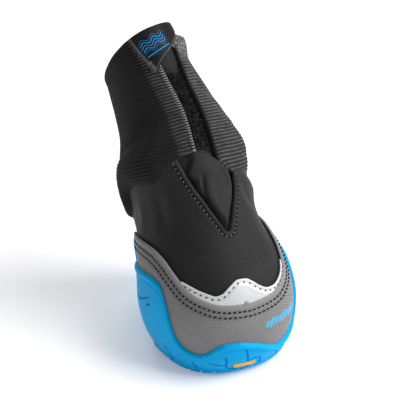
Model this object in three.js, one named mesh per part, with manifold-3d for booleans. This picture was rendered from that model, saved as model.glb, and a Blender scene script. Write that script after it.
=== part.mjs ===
// A dog boot: a rubber cup sole under a soft hollow upper, with a coated toe bumper,
// a reflective trim, a gusset tongue and a ribbed stretch gaiter that is slit in front.
// Millimetres, +Z up, the toe towards -Y and the heel towards +Y.

import * as THREE from "three";
import Module from "manifold-3d";

const wasm = await Module();
wasm.setup();

// Driving sizes of the last, which the paw and the leg fill
const LENGTH = 100;
const BALL_WIDTH = 71;
const HEIGHT = 150;

// Walls and fits
const GAP = 0.35;
const SEAT = 0.55;
const UPPER_WALL = 1.8;
const BUMPER_WALL = 1.0;
const BUMPER_CROWN = 0.4;
const TRIM_WALL = 0.7;
const TONGUE_WALL = 1.2;
const GAITER_WALL = 1.8;
const STRIP_WALL = 1.5;
const TAB_WALL = 1.3;
const INSOLE_WALL = 2.0;
const SOLE_WALL = 2.4;
const BEAD = { rise: 0.5, foot: 0.84, crest: 0.92, lip: 0.94, fall: 0.7 };
const OUTER_FACE = GAP + SOLE_WALL;

// Colours of the materials
const RUBBER_BLUE = 0x1f94d8;
const INLAY_AMBER = 0xd9a23c;
const SOFTSHELL_BLACK = 0x1b1c1f;
const BUMPER_GREY = 0x83868a;
const TRIM_SILVER = 0xd5d8da;
const KNIT_CHARCOAL = 0x34373b;
const LOOP_GREY = 0x5c5f63;
const LABEL_BLACK = 0x121317;
const INSOLE_GREY = 0x3c3f44;

// Sections of the last from the footbed up to the collar. Each is a tilted oval with a front
// point at the toe or shin and a back point at the heel or calf. All are per cent: y of LENGTH,
// z of HEIGHT, width and shift of BALL_WIDTH, widest of the way from front to back. toe and
// heel give how square the front and the back half of the oval are, from 2 for an ellipse, and
// waist is how much narrower the back half is than that.
const LAST_COLUMNS = [
  "frontY", "frontZ", "backY", "backZ", "width", "widest", "shift", "toe", "heel", "waist",
];
const LAST_ROWS = [
  [-40.0, 3.7, 32.5, 3.0, 82, 50, 0.0, 2.15, 3.0, 30],
  [-44.5, 9.0, 42.0, 7.3, 90, 50, 0.0, 2.2, 3.2, 33],
  [-45.8, 18.0, 50.0, 13.3, 94, 48, 0.0, 2.3, 3.4, 34],
  [-43.0, 26.7, 55.0, 19.3, 91, 46, 0.0, 2.3, 3.6, 32],
  [-36.0, 33.7, 58.0, 24.7, 85, 46, 0.5, 2.25, 3.0, 24],
  [-25.0, 39.0, 59.5, 29.0, 78, 48, 1.5, 2.2, 2.6, 11],
  [-14.0, 45.0, 60.5, 33.3, 75, 50, 3.2, 2.15, 2.3, 3],
  [-4.0, 53.0, 61.5, 37.3, 78, 52, 3.8, 2.1, 2.2, 0],
  [5.0, 63.3, 62.5, 43.3, 82, 50, 3.0, 2.1, 2.1, 0],
  [13.0, 72.7, 64.5, 51.3, 70, 50, 0.8, 2.1, 2.1, 0],
  [22.0, 81.3, 68.5, 60.0, 60, 50, -3.4, 2.1, 2.1, 0],
  [30.5, 89.0, 73.0, 67.3, 53, 50, -7.0, 2.1, 2.1, 0],
  [37.0, 95.3, 76.5, 73.3, 49, 50, -10.0, 2.1, 2.1, 0],
].map((row) => Object.fromEntries(LAST_COLUMNS.map((name, k) => [name, row[k]])));
const COLLAR_ROW = LAST_ROWS.length - 1;
const WAIST_END = 0.6;

// Edges as pairs of an angle round the last, in degrees from the toe, and a row of the last.
// Those that start at 0 are the same on both sides.
const SOLE_EDGE = [
  [-180, 3.3], [-154, 3.25], [-147, 3.0], [-141, 2.3], [-132, 2.0], [-120, 2.2], [-106, 2.9],
  [-93, 3.45], [-80, 3.5], [-70, 3.33], [-64, 2.6], [-59, 1.65], [-54, 1.25], [-48, 1.07],
  [-41, 1.0], [-34, 1.15], [-27, 1.4], [-19, 1.55], [-10, 1.55], [0, 1.4],
  [10, 1.15], [22, 0.88], [32, 0.9], [44, 0.95], [54, 1.2], [59, 1.75], [64, 2.7], [70, 3.35],
  [80, 3.55], [93, 3.6], [106, 3.2], [120, 2.4], [132, 2.0], [141, 2.3], [147, 3.0],
  [154, 3.25], [180, 3.3],
];
const BUMPER_EDGE = [
  [0, 2.85], [20, 2.95], [32, 3.12], [45, 3.42], [57, 4.0], [66, 4.45], [76, 4.72], [90, 4.8],
  [106, 4.6], [118, 3.9], [126, 2.75],
];
const TRIM_EDGE = [
  [-50, 3.74], [-43, 3.62], [-37, 3.5], [-30, 3.38], [-23, 3.28], [-18, 3.34], [-11, 3.58],
  [-4, 3.76], [0, 3.74], [4, 3.6], [9, 3.36], [16, 3.18], [22, 3.16], [30, 3.24], [38, 3.4],
  [46, 3.66],
];
const COLLAR_EDGE = [
  [-180, 4.1], [-152, 4.25], [-136, 4.6], [-122, 5.1], [-110, 5.85], [-101, 6.6], [-90, 7.15],
  [-78, 7.35], [-57, 7.35], [-46, 7.55], [-37, 7.8], [-27, 7.88], [-19, 7.95], [-8, 8.0],
  [8, 7.75], [14, 7.55], [20, 7.35], [27, 7.25], [51, 7.1], [61, 6.95], [73, 6.95], [84, 6.9],
  [93, 6.75], [101, 6.4], [110, 5.85], [122, 5.1], [136, 4.6], [152, 4.25], [180, 4.1],
];
const GAITER_TOP = [[0, 12.0], [30, 12.0], [60, 11.8], [90, 11.5], [130, 11.2], [180, 11.1]];

// The throat is a V in the front of the upper: a row with the angle of each of its edges.
// The tongue fills it from behind.
const THROAT = [
  { row: 5.5, left: -1, right: 1.5 },
  { row: 5.75, left: -4, right: 6.5 },
  { row: 6.0, left: -7, right: 10.5 },
  { row: 6.25, left: -10, right: 14.5 },
  { row: 6.55, left: -13.5, right: 20 },
  { row: 6.8, left: -16.7, right: 23.5 },
  { row: 7.1, left: -20.5, right: 25.8 },
];
const THROAT_CORNERS = { left: [-27, 7.85], right: [27, 7.25] };
const TONGUE_OVERLAP_ANGLE = 5;
const TONGUE_TIP_ROW = 5.0;
const TONGUE_TIP_SWEEP = 1.2;
const TONGUE_TOP_ROW = 8.05;
const TONGUE_RISE = 2.6;

// The slit of the gaiter: a row with the angle of each flap's edge
const SLIT = [
  { row: 7.8, left: -8, right: 10.5 },
  { row: 8.75, left: -7.5, right: 13 },
  { row: 9.4, left: -7, right: 15.5 },
  { row: 10.2, left: -8.5, right: 19.5 },
  { row: 10.65, left: -9.5, right: 23 },
  { row: 11.2, left: -12, right: 29 },
  { row: 12.0, left: -15, right: 38 },
];
const STRIP_START_ANGLE = -30;
const STRIP_END_ANGLE = 46;
const STRIP_TOP_ROW = 11.5;
const BULGE = { rise: 4.2, height: 0.31, skew: 0.75, fullness: 0.8, fromAngle: 20, fullAngle: 55 };
const LESS_RIGHT = { share: 0.65, from: 10, full: 40, fade: 90, end: 130 };
const FLARE = { rise: 3.2, fromRow: 10.8, fullRow: 11.6, from: 42, full: 66, fade: 95, end: 140 };
const ROLLED_EDGE = 0.5;
const ROLLED_ROWS = 0.25;

// The label hangs from the left flap's corner, across the slit: an angle with two rows
const TAB = [
  { angle: -33, low: 11.85, high: 12.02 },
  { angle: -26, low: 11.2, high: 12.08 },
  { angle: -17, low: 10.55, high: 12.14 },
  { angle: -7, low: 10.8, high: 12.2 },
  { angle: 4, low: 11.05, high: 12.25 },
  { angle: 20, low: 11.4, high: 12.32 },
  { angle: 35, low: 11.75, high: 12.38 },
  { angle: 44, low: 12.1, high: 12.4 },
];

const BUMPER_END_ANGLE = 126;
const TRIM_START_ANGLE = -50;
const TRIM_END_ANGLE = 46;

// Ground: flat under the ball and the heel, turned up a little at the toe
const GROUND_INSET = 2.0;
const GROUND_CORNER = 1.3;
const GROUND_CORNER_DRAFT = 0.5;
const SPRING_START_Y = -25;
const SPRING_REACH = 20;
const SPRING_RISE = 3.0;

// Tread: a square grid whose crossings are turned into stars by diagonal cuts
const TREAD_PITCH = 15.6;
const TREAD_MIDDLE_Y = -10.8;
const GROOVE_WIDTH = 1.3;
const GROOVE_DEPTH = 1.5;
const REAR_CUTS_Y = [12.5, 19.0, 31.5];
const REAR_CUT_HALF = 27;
const GROOVE_SPAN = 9;
const BELOW_GROUND = -2;

// The cuts of one half of the tread, in pitches from its middle; each is repeated on the other
const TREAD_COLUMNS = ["fromX", "fromY", "toX", "toY"];
const TREAD_CUTS = [
  [0, -2, 3.2, -2],
  [0, -1, 3.2, -1],
  [0, 0, 3.2, 0],
  [0, 1, 3.2, 1],
  [1, -3, 1, 2.71],
  [2, -1, 2, 1],
  [0, -2, 2, 0],
  [0, 0, 2.6, -2.6],
  [0, 0, 1, 1],
  [1, 1, 3, -1],
  [0, -2, 1, -3],
].map((cut) => Object.fromEntries(TREAD_COLUMNS.map((name, k) => [name, cut[k]])));

const SOLE_INLAY = { y: 25.5, width: 12.6, length: 6.4, thick: 1.4, recess: 0.4, rim: 1.2 };
const TOE_INLAY = {
  middle: -6, halfAngle: 8.5, degreesPerMm: 1.7, lowRow: 0.16, highRow: 0.58,
  depth: 1.1, proud: 0.1, cutPast: 0.6,
};
const INSOLE = { row: 0.12, rounding: 0.6 };

// Angles of the columns of every piece, half way round, and the least step between two
const AROUND = [
  0, 4, 8, 13, 18, 23, 26, 32, 38, 45, 51, 56, 59, 62, 66, 72, 80, 90, 100, 110, 119,
  126, 133, 139, 143, 147, 152, 160, 170, 180,
];
const LEAST_STEP = 1.2;

// Shares of a piece's height, from its lower to its upper edge, at which it has a ring of points
const UNDER_SHARES = [0.35, 0.62, 0.82];
const SOLE_OUTSIDE_SHARES = [0, 0.2, 0.4, 0.6, 0.8, 0.86, 0.93, 1];
const SOLE_INSIDE_SHARES = [0, 0.17, 0.34, 0.5, 0.66, 0.82, 1];
const UPPER_SHARES = [0, 0.08, 0.16, 0.24, 0.33, 0.42, 0.52, 0.62, 0.72, 0.82, 0.91, 1];
const GAITER_SHARES = [0, 0.06, 0.14, 0.22, 0.31, 0.44, 0.58, 0.74, 0.9, 1];

const RADIANS = Math.PI / 180;

function clamp(value, low, high) {
  return Math.min(Math.max(value, low), high);
}

function smooth(value, low, high) {
  const t = clamp((value - low) / (high - low), 0, 1);
  return t * t * (3 - 2 * t);
}

// A curve without overshoot through pairs of x and y
function curveThrough(pairs) {
  const slopes = pairs.slice(1).map((pair, k) => (pair[1] - pairs[k][1]) / (pair[0] - pairs[k][0]));
  const tangents = pairs.map((pair, k) => {
    const before = slopes[Math.max(k - 1, 0)];
    const after = slopes[Math.min(k, slopes.length - 1)];
    return before * after <= 0 ? 0 : (2 * before * after) / (before + after);
  });
  return (x) => {
    let k = 0;
    while (k < pairs.length - 2 && x > pairs[k + 1][0]) {
      k += 1;
    }
    const step = pairs[k + 1][0] - pairs[k][0];
    const t = clamp((x - pairs[k][0]) / step, 0, 1);
    const cubic = 2 * t ** 3 - 3 * t ** 2;
    return (
      (cubic + 1) * pairs[k][1] - cubic * pairs[k + 1][1] +
      step * ((t ** 3 - 2 * t ** 2 + t) * tangents[k] + (t ** 3 - t ** 2) * tangents[k + 1])
    );
  };
}

function edgeAround(pairs) {
  const curve = curveThrough(pairs);
  const mirrored = pairs[0][0] === 0;
  return (angle) => curve(mirrored ? Math.abs(wrapped(angle)) : wrapped(angle));
}

function wrapped(angle) {
  return angle - 360 * Math.round(angle / 360);
}

const soleEdge = edgeAround(SOLE_EDGE);
const bumperEdge = edgeAround(BUMPER_EDGE);
const trimEdge = edgeAround(TRIM_EDGE);
const collarEdge = edgeAround(COLLAR_EDGE);
const gaiterTop = edgeAround(GAITER_TOP);
const throatEdge = curveThrough([
  THROAT_CORNERS.left,
  ...THROAT.map((cut) => [cut.left, cut.row]).reverse(),
  ...THROAT.map((cut) => [cut.right, cut.row]),
  THROAT_CORNERS.right,
]);
const throatLeft = curveThrough([...THROAT, ...SLIT.slice(0, 1)].map((cut) => [cut.row, cut.left]));
const throatRight = curveThrough([...THROAT, ...SLIT.slice(0, 1)].map((cut) => [cut.row, cut.right]));
const slitLeft = curveThrough(SLIT.map((cut) => [cut.row, cut.left]));
const slitRight = curveThrough(SLIT.map((cut) => [cut.row, cut.right]));

// One value of the section table at a row that needn't be whole
function section(name, row) {
  const at = clamp(row, 0, COLLAR_ROW);
  const k = Math.min(Math.floor(at), COLLAR_ROW - 1);
  const t = at - k;
  const value = (i) => LAST_ROWS[clamp(i, 0, COLLAR_ROW)][name];
  const rise = value(k + 1) - value(k);
  const startSlope = k === 0 ? rise : (value(k + 1) - value(k - 1)) / 2;
  const endSlope = k === COLLAR_ROW - 1 ? rise : (value(k + 2) - value(k)) / 2;
  const cubic = 2 * t ** 3 - 3 * t ** 2;
  return (
    (cubic + 1) * value(k) - cubic * value(k + 1) +
    (t ** 3 - 2 * t ** 2 + t) * startSlope + (t ** 3 - t ** 2) * endSlope
  );
}

// A point on the last. Past the first or last row, it goes on straight.
function lastPoint(angle, row) {
  const inside = clamp(row, 0, COLLAR_ROW);
  if (row !== inside) {
    const step = row < 0 ? 0.05 : -0.05;
    const edge = lastPoint(angle, inside);
    const near = lastPoint(angle, inside + step);
    return edge.clone().addScaledVector(near.sub(edge), (row - inside) / step);
  }
  const turn = angle * RADIANS;
  const power = 2 / section(Math.cos(turn) > 0 ? "toe" : "heel", row);
  const along = Math.sign(Math.cos(turn)) * Math.abs(Math.cos(turn)) ** power;
  const across = Math.sign(Math.sin(turn)) * Math.abs(Math.sin(turn)) ** power;
  const widest = section("widest", row) / 100;
  const share = along > 0 ? widest * (1 - along) : widest - (1 - widest) * along;
  const y = THREE.MathUtils.lerp(section("frontY", row), section("backY", row), share);
  const z = THREE.MathUtils.lerp(section("frontZ", row), section("backZ", row), share);
  const drawnIn = 1 - (section("waist", row) / 100) * smooth(-along, 0, WAIST_END);
  const side = section("shift", row) + (section("width", row) / 2) * across * drawnIn;
  return new THREE.Vector3((side * BALL_WIDTH) / 100, (y * LENGTH) / 100, (z * HEIGHT) / 100);
}

function outward(angle, row) {
  const around = lastPoint(angle + 1, row).sub(lastPoint(angle - 1, row));
  const upward = lastPoint(angle, row + 0.03).sub(lastPoint(angle, row - 0.03));
  return around.cross(upward).normalize();
}

function offsetPoint(angle, row, out) {
  return lastPoint(angle, row).addScaledVector(outward(angle, row), out);
}

// The rows that a length on the surface takes up
function rowsFor(length, angle, row) {
  return (length * 0.1) / lastPoint(angle, row + 0.1).distanceTo(lastPoint(angle, row));
}

// Columns from one angle to another, at the shared angles and at both ends
function columns(from, to) {
  const shared = [...AROUND.slice(1, -1).map((angle) => -angle).reverse(), ...AROUND];
  const both = [...shared, ...shared.map((angle) => angle + 360)];
  const between = both.filter((angle) => angle > from + LEAST_STEP && angle < to - LEAST_STEP);
  return [from, ...new Set(between), to];
}

// The triangles of rings of equal count, closed round each ring and from last to first if asked
function ringFaces(ringCount, size, closedAround, closedAlong) {
  const faces = [];
  const steps = closedAround ? size : size - 1;
  const spans = closedAlong ? ringCount : ringCount - 1;
  for (let j = 0; j < spans; j += 1) {
    for (let i = 0; i < steps; i += 1) {
      const a = j * size + i;
      const b = j * size + ((i + 1) % size);
      const c = ((j + 1) % ringCount) * size + i;
      const d = ((j + 1) % ringCount) * size + ((i + 1) % size);
      faces.push(a, b, d, a, d, c);
    }
  }
  return faces;
}

function solidFrom(points, faces) {
  const vertProperties = new Float32Array(points.flatMap((point) => [point.x, point.y, point.z]));
  const triVerts = new Uint32Array(faces);
  return new wasm.Manifold(new wasm.Mesh({ numProp: 3, vertProperties, triVerts }));
}

// A wall that follows the last. low and high give its edges at each angle, as rows; inner and
// outer give its faces, as lengths out from the last at an angle and a share of its height.
function wall({ angles, low, high, steps, inner, outer, ring }) {
  const face = (depth) => (share) => angles.map((angle) => {
    const row = THREE.MathUtils.lerp(low(angle), high(angle), share);
    return offsetPoint(angle, row, depth(angle, share, row));
  });
  const shares = Array.isArray(steps) ? steps : evenShares(steps);
  const outside = shares.map(face(outer));
  const inside = shares.map(face(inner)).reverse();
  const rings = [...outside, ...inside];
  if (ring) {
    return solidFrom(rings.flat(), ringFaces(rings.length, angles.length, true, true));
  }
  return closedStrip(rings, shares.length);
}

function evenShares(steps) {
  return Array.from({ length: steps + 1 }, (_, k) => k / steps);
}

const allRound = columns(-180, 180).slice(0, -1);
const level = (depth) => () => depth;

// Height of the underside above the floor
function ground(y) {
  const past = clamp((SPRING_START_Y - y) / SPRING_REACH, 0, 1.2);
  return SPRING_RISE * past * past;
}

// Face of the rubber: plain below, with a raised bead along the top edge
function rubberFace(angle, share) {
  const up = smooth(share, BEAD.foot, BEAD.crest);
  const down = BEAD.fall * smooth(share, BEAD.lip, 1);
  return OUTER_FACE + BEAD.rise * (up - down);
}

function levelRing(out, height) {
  return allRound.map((angle) => {
    const base = lastPoint(angle, 0);
    const side = outward(angle, 0).setZ(0).normalize();
    const point = base.addScaledVector(side, out);
    return point.setZ(ground(point.y) + height);
  });
}

function shrunkRing(ringPoints, share) {
  const middleY = (section("frontY", 0) + section("backY", 0)) / 2;
  return ringPoints.map((point) => {
    const y = middleY + (point.y - middleY) * share;
    return new THREE.Vector3(point.x * share, y, ground(y));
  });
}

function soleBody() {
  const edge = levelRing(OUTER_FACE - GROUND_INSET, 0);
  const under = UNDER_SHARES.map((share) => shrunkRing(edge, share));
  const corner = levelRing(OUTER_FACE - GROUND_CORNER_DRAFT, GROUND_CORNER);
  const outside = SOLE_OUTSIDE_SHARES.map((share) => allRound.map((angle) => {
    return offsetPoint(angle, soleEdge(angle) * share, rubberFace(angle, share));
  }));
  const inside = SOLE_INSIDE_SHARES.map((share) => allRound.map((angle) => {
    return offsetPoint(angle, soleEdge(angle) * share, SEAT);
  }));
  inside.reverse();
  const rings = [...under, edge, corner, ...outside, ...inside];
  const floor = inside.at(-1).map((point) => point.clone());
  rings[rings.length - 1] = floor.map((point) => point.setZ(point.z - GAP));
  const points = rings.flat();
  const size = allRound.length;
  const faces = ringFaces(rings.length, size, true, false);
  const underMiddle = points.push(middleOf(rings[0])) - 1;
  const floorMiddle = points.push(middleOf(floor)) - 1;
  const lastRing = (rings.length - 1) * size;
  for (let i = 0; i < size; i += 1) {
    const next = (i + 1) % size;
    faces.push(underMiddle, next, i);
    faces.push(floorMiddle, lastRing + i, lastRing + next);
  }
  return solidFrom(points, faces);
}

function middleOf(ringPoints) {
  const sum = ringPoints.reduce((total, point) => total.add(point), new THREE.Vector3());
  return sum.divideScalar(ringPoints.length);
}

// A cut of even depth between two points of the underside
function groove(from, to) {
  const path = new THREE.LineCurve(new THREE.Vector2(...from), new THREE.Vector2(...to));
  const rings = evenShares(Math.ceil(path.getLength() / GROOVE_SPAN)).map((share) => {
    const at = path.getPointAt(share);
    const way = path.getTangentAt(share);
    const side = new THREE.Vector2(-way.y, way.x).multiplyScalar(GROOVE_WIDTH / 2);
    const left = at.clone().add(side);
    const right = at.clone().sub(side);
    return [
      new THREE.Vector3(left.x, left.y, BELOW_GROUND),
      new THREE.Vector3(left.x, left.y, ground(left.y) + GROOVE_DEPTH),
      new THREE.Vector3(right.x, right.y, ground(right.y) + GROOVE_DEPTH),
      new THREE.Vector3(right.x, right.y, BELOW_GROUND),
    ];
  });
  const end = (rings.length - 1) * 4;
  const faces = ringFaces(rings.length, 4, true, false);
  faces.push(0, 2, 1, 0, 3, 2, end, end + 1, end + 2, end, end + 2, end + 3);
  return solidFrom(rings.flat(), faces);
}

// Stars sit on every second crossing of the grid, so diagonals join them into a lattice
function treadLines() {
  const p = TREAD_PITCH;
  const middle = TREAD_MIDDLE_Y;
  const lines = [[[0, middle - 3 * p], [0, REAR_CUTS_Y[0]]]];
  for (const side of [-1, 1]) {
    for (const cut of TREAD_CUTS) {
      const from = [side * cut.fromX * p, middle + cut.fromY * p];
      lines.push([from, [side * cut.toX * p, middle + cut.toY * p]]);
    }
  }
  for (const y of REAR_CUTS_Y) {
    lines.push([[-REAR_CUT_HALF, y], [REAR_CUT_HALF, y]]);
  }
  return lines;
}

function ellipseDisc(width, length, low, high) {
  const disc = new THREE.CylinderGeometry(0.5, 0.5, high - low, 24);
  disc.rotateX(Math.PI / 2);
  disc.scale(width, length, 1);
  disc.translate(0, SOLE_INLAY.y, (low + high) / 2);
  return manifoldOf(disc);
}

// Joins the equal points of a closed geometry into one solid
function manifoldOf(geometry) {
  const position = geometry.getAttribute("position");
  const seen = new Map();
  const points = [];
  const indexOf = [];
  for (let i = 0; i < position.count; i += 1) {
    const point = new THREE.Vector3().fromBufferAttribute(position, i);
    const key = point.toArray().map((value) => Math.round(value * 1e4)).join(" ");
    if (!seen.has(key)) {
      seen.set(key, points.push(point) - 1);
    }
    indexOf.push(seen.get(key));
  }
  const faces = Array.from(geometry.index.array, (i) => indexOf[i]);
  return solidFrom(points, faces);
}

function outsole() {
  let body = soleBody();
  for (const [from, to] of treadLines()) {
    body = body.subtract(groove(from, to));
  }
  const rimWidth = SOLE_INLAY.width + 2 * SOLE_INLAY.rim;
  const rimLength = SOLE_INLAY.length + 2 * SOLE_INLAY.rim;
  const frame = ellipseDisc(rimWidth, rimLength, 0, GROOVE_DEPTH + SOLE_INLAY.thick);
  const top = SOLE_INLAY.recess + SOLE_INLAY.thick + GAP;
  const pocketWidth = SOLE_INLAY.width + 2 * GAP;
  const pocketLength = SOLE_INLAY.length + 2 * GAP;
  const pocket = ellipseDisc(pocketWidth, pocketLength, BELOW_GROUND, top);
  return body.add(frame).subtract(pocket).subtract(toePatch(GAP, TOE_INLAY.cutPast));
}

function soleInlay() {
  const low = SOLE_INLAY.recess;
  return ellipseDisc(SOLE_INLAY.width, SOLE_INLAY.length, low, low + SOLE_INLAY.thick);
}

function toePatch(margin, proud) {
  const reach = TOE_INLAY.halfAngle + margin * TOE_INLAY.degreesPerMm;
  const spare = rowsFor(margin, TOE_INLAY.middle, TOE_INLAY.lowRow);
  return wall({
    angles: [-1, -0.5, 0, 0.5, 1].map((share) => TOE_INLAY.middle + share * reach),
    low: level(TOE_INLAY.lowRow - spare),
    high: level(TOE_INLAY.highRow + spare),
    steps: 1,
    inner: level(OUTER_FACE - TOE_INLAY.depth - margin),
    outer: level(OUTER_FACE + proud),
    ring: false,
  });
}

function insole() {
  const ringAt = (row, rise) => allRound.map((angle) => {
    const point = offsetPoint(angle, row, -UPPER_WALL - 2 * GAP);
    return point.setZ(point.z + rise);
  });
  const rings = [
    ringAt(0, 0),
    ringAt(INSOLE.row, INSOLE_WALL - INSOLE.rounding),
    ringAt(INSOLE.row, INSOLE_WALL),
  ];
  const points = rings.flat();
  const size = allRound.length;
  const faces = ringFaces(rings.length, size, true, false);
  const lowMiddle = points.push(middleOf(rings[0])) - 1;
  const highMiddle = points.push(middleOf(rings[2])) - 1;
  for (let i = 0; i < size; i += 1) {
    const next = (i + 1) % size;
    faces.push(lowMiddle, next, i);
    faces.push(highMiddle, 2 * size + i, 2 * size + next);
  }
  return solidFrom(points, faces);
}

// Top of the upper: the collar line, cut down to the tip of the throat in front
function upperEdge(angle) {
  const from = wrapped(angle);
  const inThroat = from > THROAT_CORNERS.left[0] && from < THROAT_CORNERS.right[0];
  return inThroat ? throatEdge(from) : collarEdge(angle);
}

function upper() {
  return wall({
    angles: allRound,
    low: level(0),
    high: upperEdge,
    steps: UPPER_SHARES,
    inner: level(-UPPER_WALL),
    outer: level(0),
    ring: true,
  });
}

function toeBumper() {
  return wall({
    angles: columns(-BUMPER_END_ANGLE, BUMPER_END_ANGLE),
    low: (angle) => soleEdge(angle) + rowsFor(GAP, angle, soleEdge(angle)),
    high: bumperEdge,
    steps: 5,
    inner: level(SEAT),
    outer: (angle, share) => SEAT + BUMPER_WALL + BUMPER_CROWN * Math.sin(Math.PI * share),
    ring: false,
  });
}

function reflectiveTrim() {
  return wall({
    angles: columns(TRIM_START_ANGLE, TRIM_END_ANGLE),
    low: (angle) => bumperEdge(angle) + rowsFor(GAP, angle, bumperEdge(angle)),
    high: trimEdge,
    steps: 2,
    inner: level(SEAT),
    outer: level(SEAT + TRIM_WALL),
    ring: false,
  });
}

// The gusset lies behind the vamp's edges and the knit, and swells forward between them
function tongueFace(angle, share, row) {
  const aside = Math.min(angle - throatLeft(row), throatRight(row) - angle);
  const inside = smooth(aside, 3, 12) * smooth(collarEdge(angle) - row, 0.2, 0.7);
  return -GAITER_WALL - GAP + TONGUE_RISE * inside;
}

function tongue() {
  const reach = THROAT_CORNERS.right[0] + TONGUE_OVERLAP_ANGLE;
  return wall({
    angles: columns(-reach, reach),
    low: (angle) => TONGUE_TIP_ROW + TONGUE_TIP_SWEEP * (Math.abs(angle) / reach) ** 2,
    high: level(TONGUE_TOP_ROW),
    steps: 7,
    inner: (angle, share, row) => tongueFace(angle, share, row) - TONGUE_WALL,
    outer: tongueFace,
    ring: false,
  });
}

// How much of a form there is at an angle, if it starts and fades out at its named angles
function partRound(angle, form) {
  return smooth(angle, form.from, form.full) * (1 - smooth(angle, form.fade, form.end));
}

// The knit stands out over the seam to the upper, slims above it and flares at the right flap
function gaiterFace(angle, share, row) {
  const from = Math.abs(wrapped(angle));
  const aside = smooth(from, BULGE.fromAngle, BULGE.fullAngle);
  const up = clamp(share / BULGE.height, 0, 1) ** BULGE.skew;
  const rise = BULGE.rise * (1 - LESS_RIGHT.share * partRound(wrapped(angle), LESS_RIGHT));
  const swell = rise * aside * Math.sin(Math.PI * up) ** BULGE.fullness;
  const high = smooth(row, FLARE.fromRow, FLARE.fullRow);
  const flared = FLARE.rise * high * partRound(wrapped(angle), FLARE);
  const rolled = ROLLED_EDGE * smooth(row, gaiterTop(angle) - ROLLED_ROWS, gaiterTop(angle));
  return swell + flared + rolled;
}

function gaiter() {
  const edgeGap = (angle) => rowsFor(GAP, angle, collarEdge(angle));
  const around = columns(SLIT[0].right, 360 + SLIT[0].left);
  const first = around[0];
  const span = around.at(-1) - first;
  const shares = around.map((angle) => (angle - first) / span);
  const rowAt = (angle, share) => {
    return THREE.MathUtils.lerp(collarEdge(angle) + edgeGap(angle), gaiterTop(angle), share);
  };
  const ringOf = (depth) => (heightShare) => shares.map((share, k) => {
    const guess = rowAt(around[k], heightShare);
    const angle = THREE.MathUtils.lerp(slitRight(guess), 360 + slitLeft(guess), share);
    const row = rowAt(angle, heightShare);
    return offsetPoint(angle, row, depth(angle, heightShare, row));
  });
  const outside = GAITER_SHARES.map(ringOf(gaiterFace));
  const inside = GAITER_SHARES.map(ringOf((...at) => gaiterFace(...at) - GAITER_WALL)).reverse();
  return closedStrip([...outside, ...inside], GAITER_SHARES.length);
}

// Closes a wall whose rings don't meet at their ends
function closedStrip(rings, count) {
  const size = rings[0].length;
  const faces = ringFaces(rings.length, size, false, true);
  for (let k = 0; k < count - 1; k += 1) {
    const a = k * size;
    const b = (k + 1) * size;
    const c = (2 * count - 1 - k) * size;
    const d = (2 * count - 2 - k) * size;
    faces.push(a, b, d, a, d, c);
    faces.push(a + size - 1, d + size - 1, b + size - 1, a + size - 1, c + size - 1, d + size - 1);
  }
  return solidFrom(rings.flat(), faces);
}

function closureStrip() {
  return wall({
    angles: columns(STRIP_START_ANGLE, STRIP_END_ANGLE),
    low: (angle) => TONGUE_TOP_ROW + rowsFor(GAP, angle, TONGUE_TOP_ROW),
    high: level(STRIP_TOP_ROW),
    steps: 4,
    inner: level(-GAITER_WALL - GAP - STRIP_WALL),
    outer: level(-GAITER_WALL - GAP),
    ring: false,
  });
}

function pullTab() {
  return wall({
    angles: TAB.map((stop) => stop.angle),
    low: curveThrough(TAB.map((stop) => [stop.angle, stop.low])),
    high: curveThrough(TAB.map((stop) => [stop.angle, stop.high])),
    steps: 3,
    inner: level(ROLLED_EDGE + GAP),
    outer: level(ROLLED_EDGE + GAP + TAB_WALL),
    ring: false,
  });
}

function meshOf(name, solid, color, roughness) {
  const result = solid.getMesh();
  const geometry = new THREE.BufferGeometry();
  geometry.setAttribute("position", new THREE.BufferAttribute(result.vertProperties, 3));
  geometry.setIndex(new THREE.BufferAttribute(result.triVerts, 1));
  geometry.computeVertexNormals();
  const material = new THREE.MeshStandardMaterial({ color, roughness, metalness: 0 });
  const mesh = new THREE.Mesh(geometry, material);
  mesh.name = name;
  return mesh;
}

const boot = new THREE.Group();
boot.add(meshOf("outsole", outsole(), RUBBER_BLUE, 0.45));
boot.add(meshOf("sole_inlay", soleInlay(), INLAY_AMBER, 0.5));
boot.add(meshOf("toe_inlay", toePatch(0, TOE_INLAY.proud), INLAY_AMBER, 0.5));
boot.add(meshOf("insole", insole(), INSOLE_GREY, 0.9));
boot.add(meshOf("upper", upper(), SOFTSHELL_BLACK, 0.8));
boot.add(meshOf("toe_bumper", toeBumper(), BUMPER_GREY, 0.6));
boot.add(meshOf("reflective_trim", reflectiveTrim(), TRIM_SILVER, 0.35));
boot.add(meshOf("tongue", tongue(), SOFTSHELL_BLACK, 0.8));
boot.add(meshOf("gaiter", gaiter(), KNIT_CHARCOAL, 0.9));
boot.add(meshOf("closure_strip", closureStrip(), LOOP_GREY, 0.95));
boot.add(meshOf("pull_tab", pullTab(), LABEL_BLACK, 0.7));

// The origin lies under the middle of the whole boot
const box = new THREE.Box3().setFromObject(boot);
const middle = box.getCenter(new THREE.Vector3());
for (const mesh of boot.children) {
  mesh.position.set(-middle.x, -middle.y, -box.min.z);
}

export default boot;
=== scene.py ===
import math

import bmesh
import bpy
import numpy as np
from bpy.props import FloatProperty, FloatVectorProperty, PointerProperty
from bpy.types import Operator, Panel, PropertyGroup
from mathutils import Matrix, Vector


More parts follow.
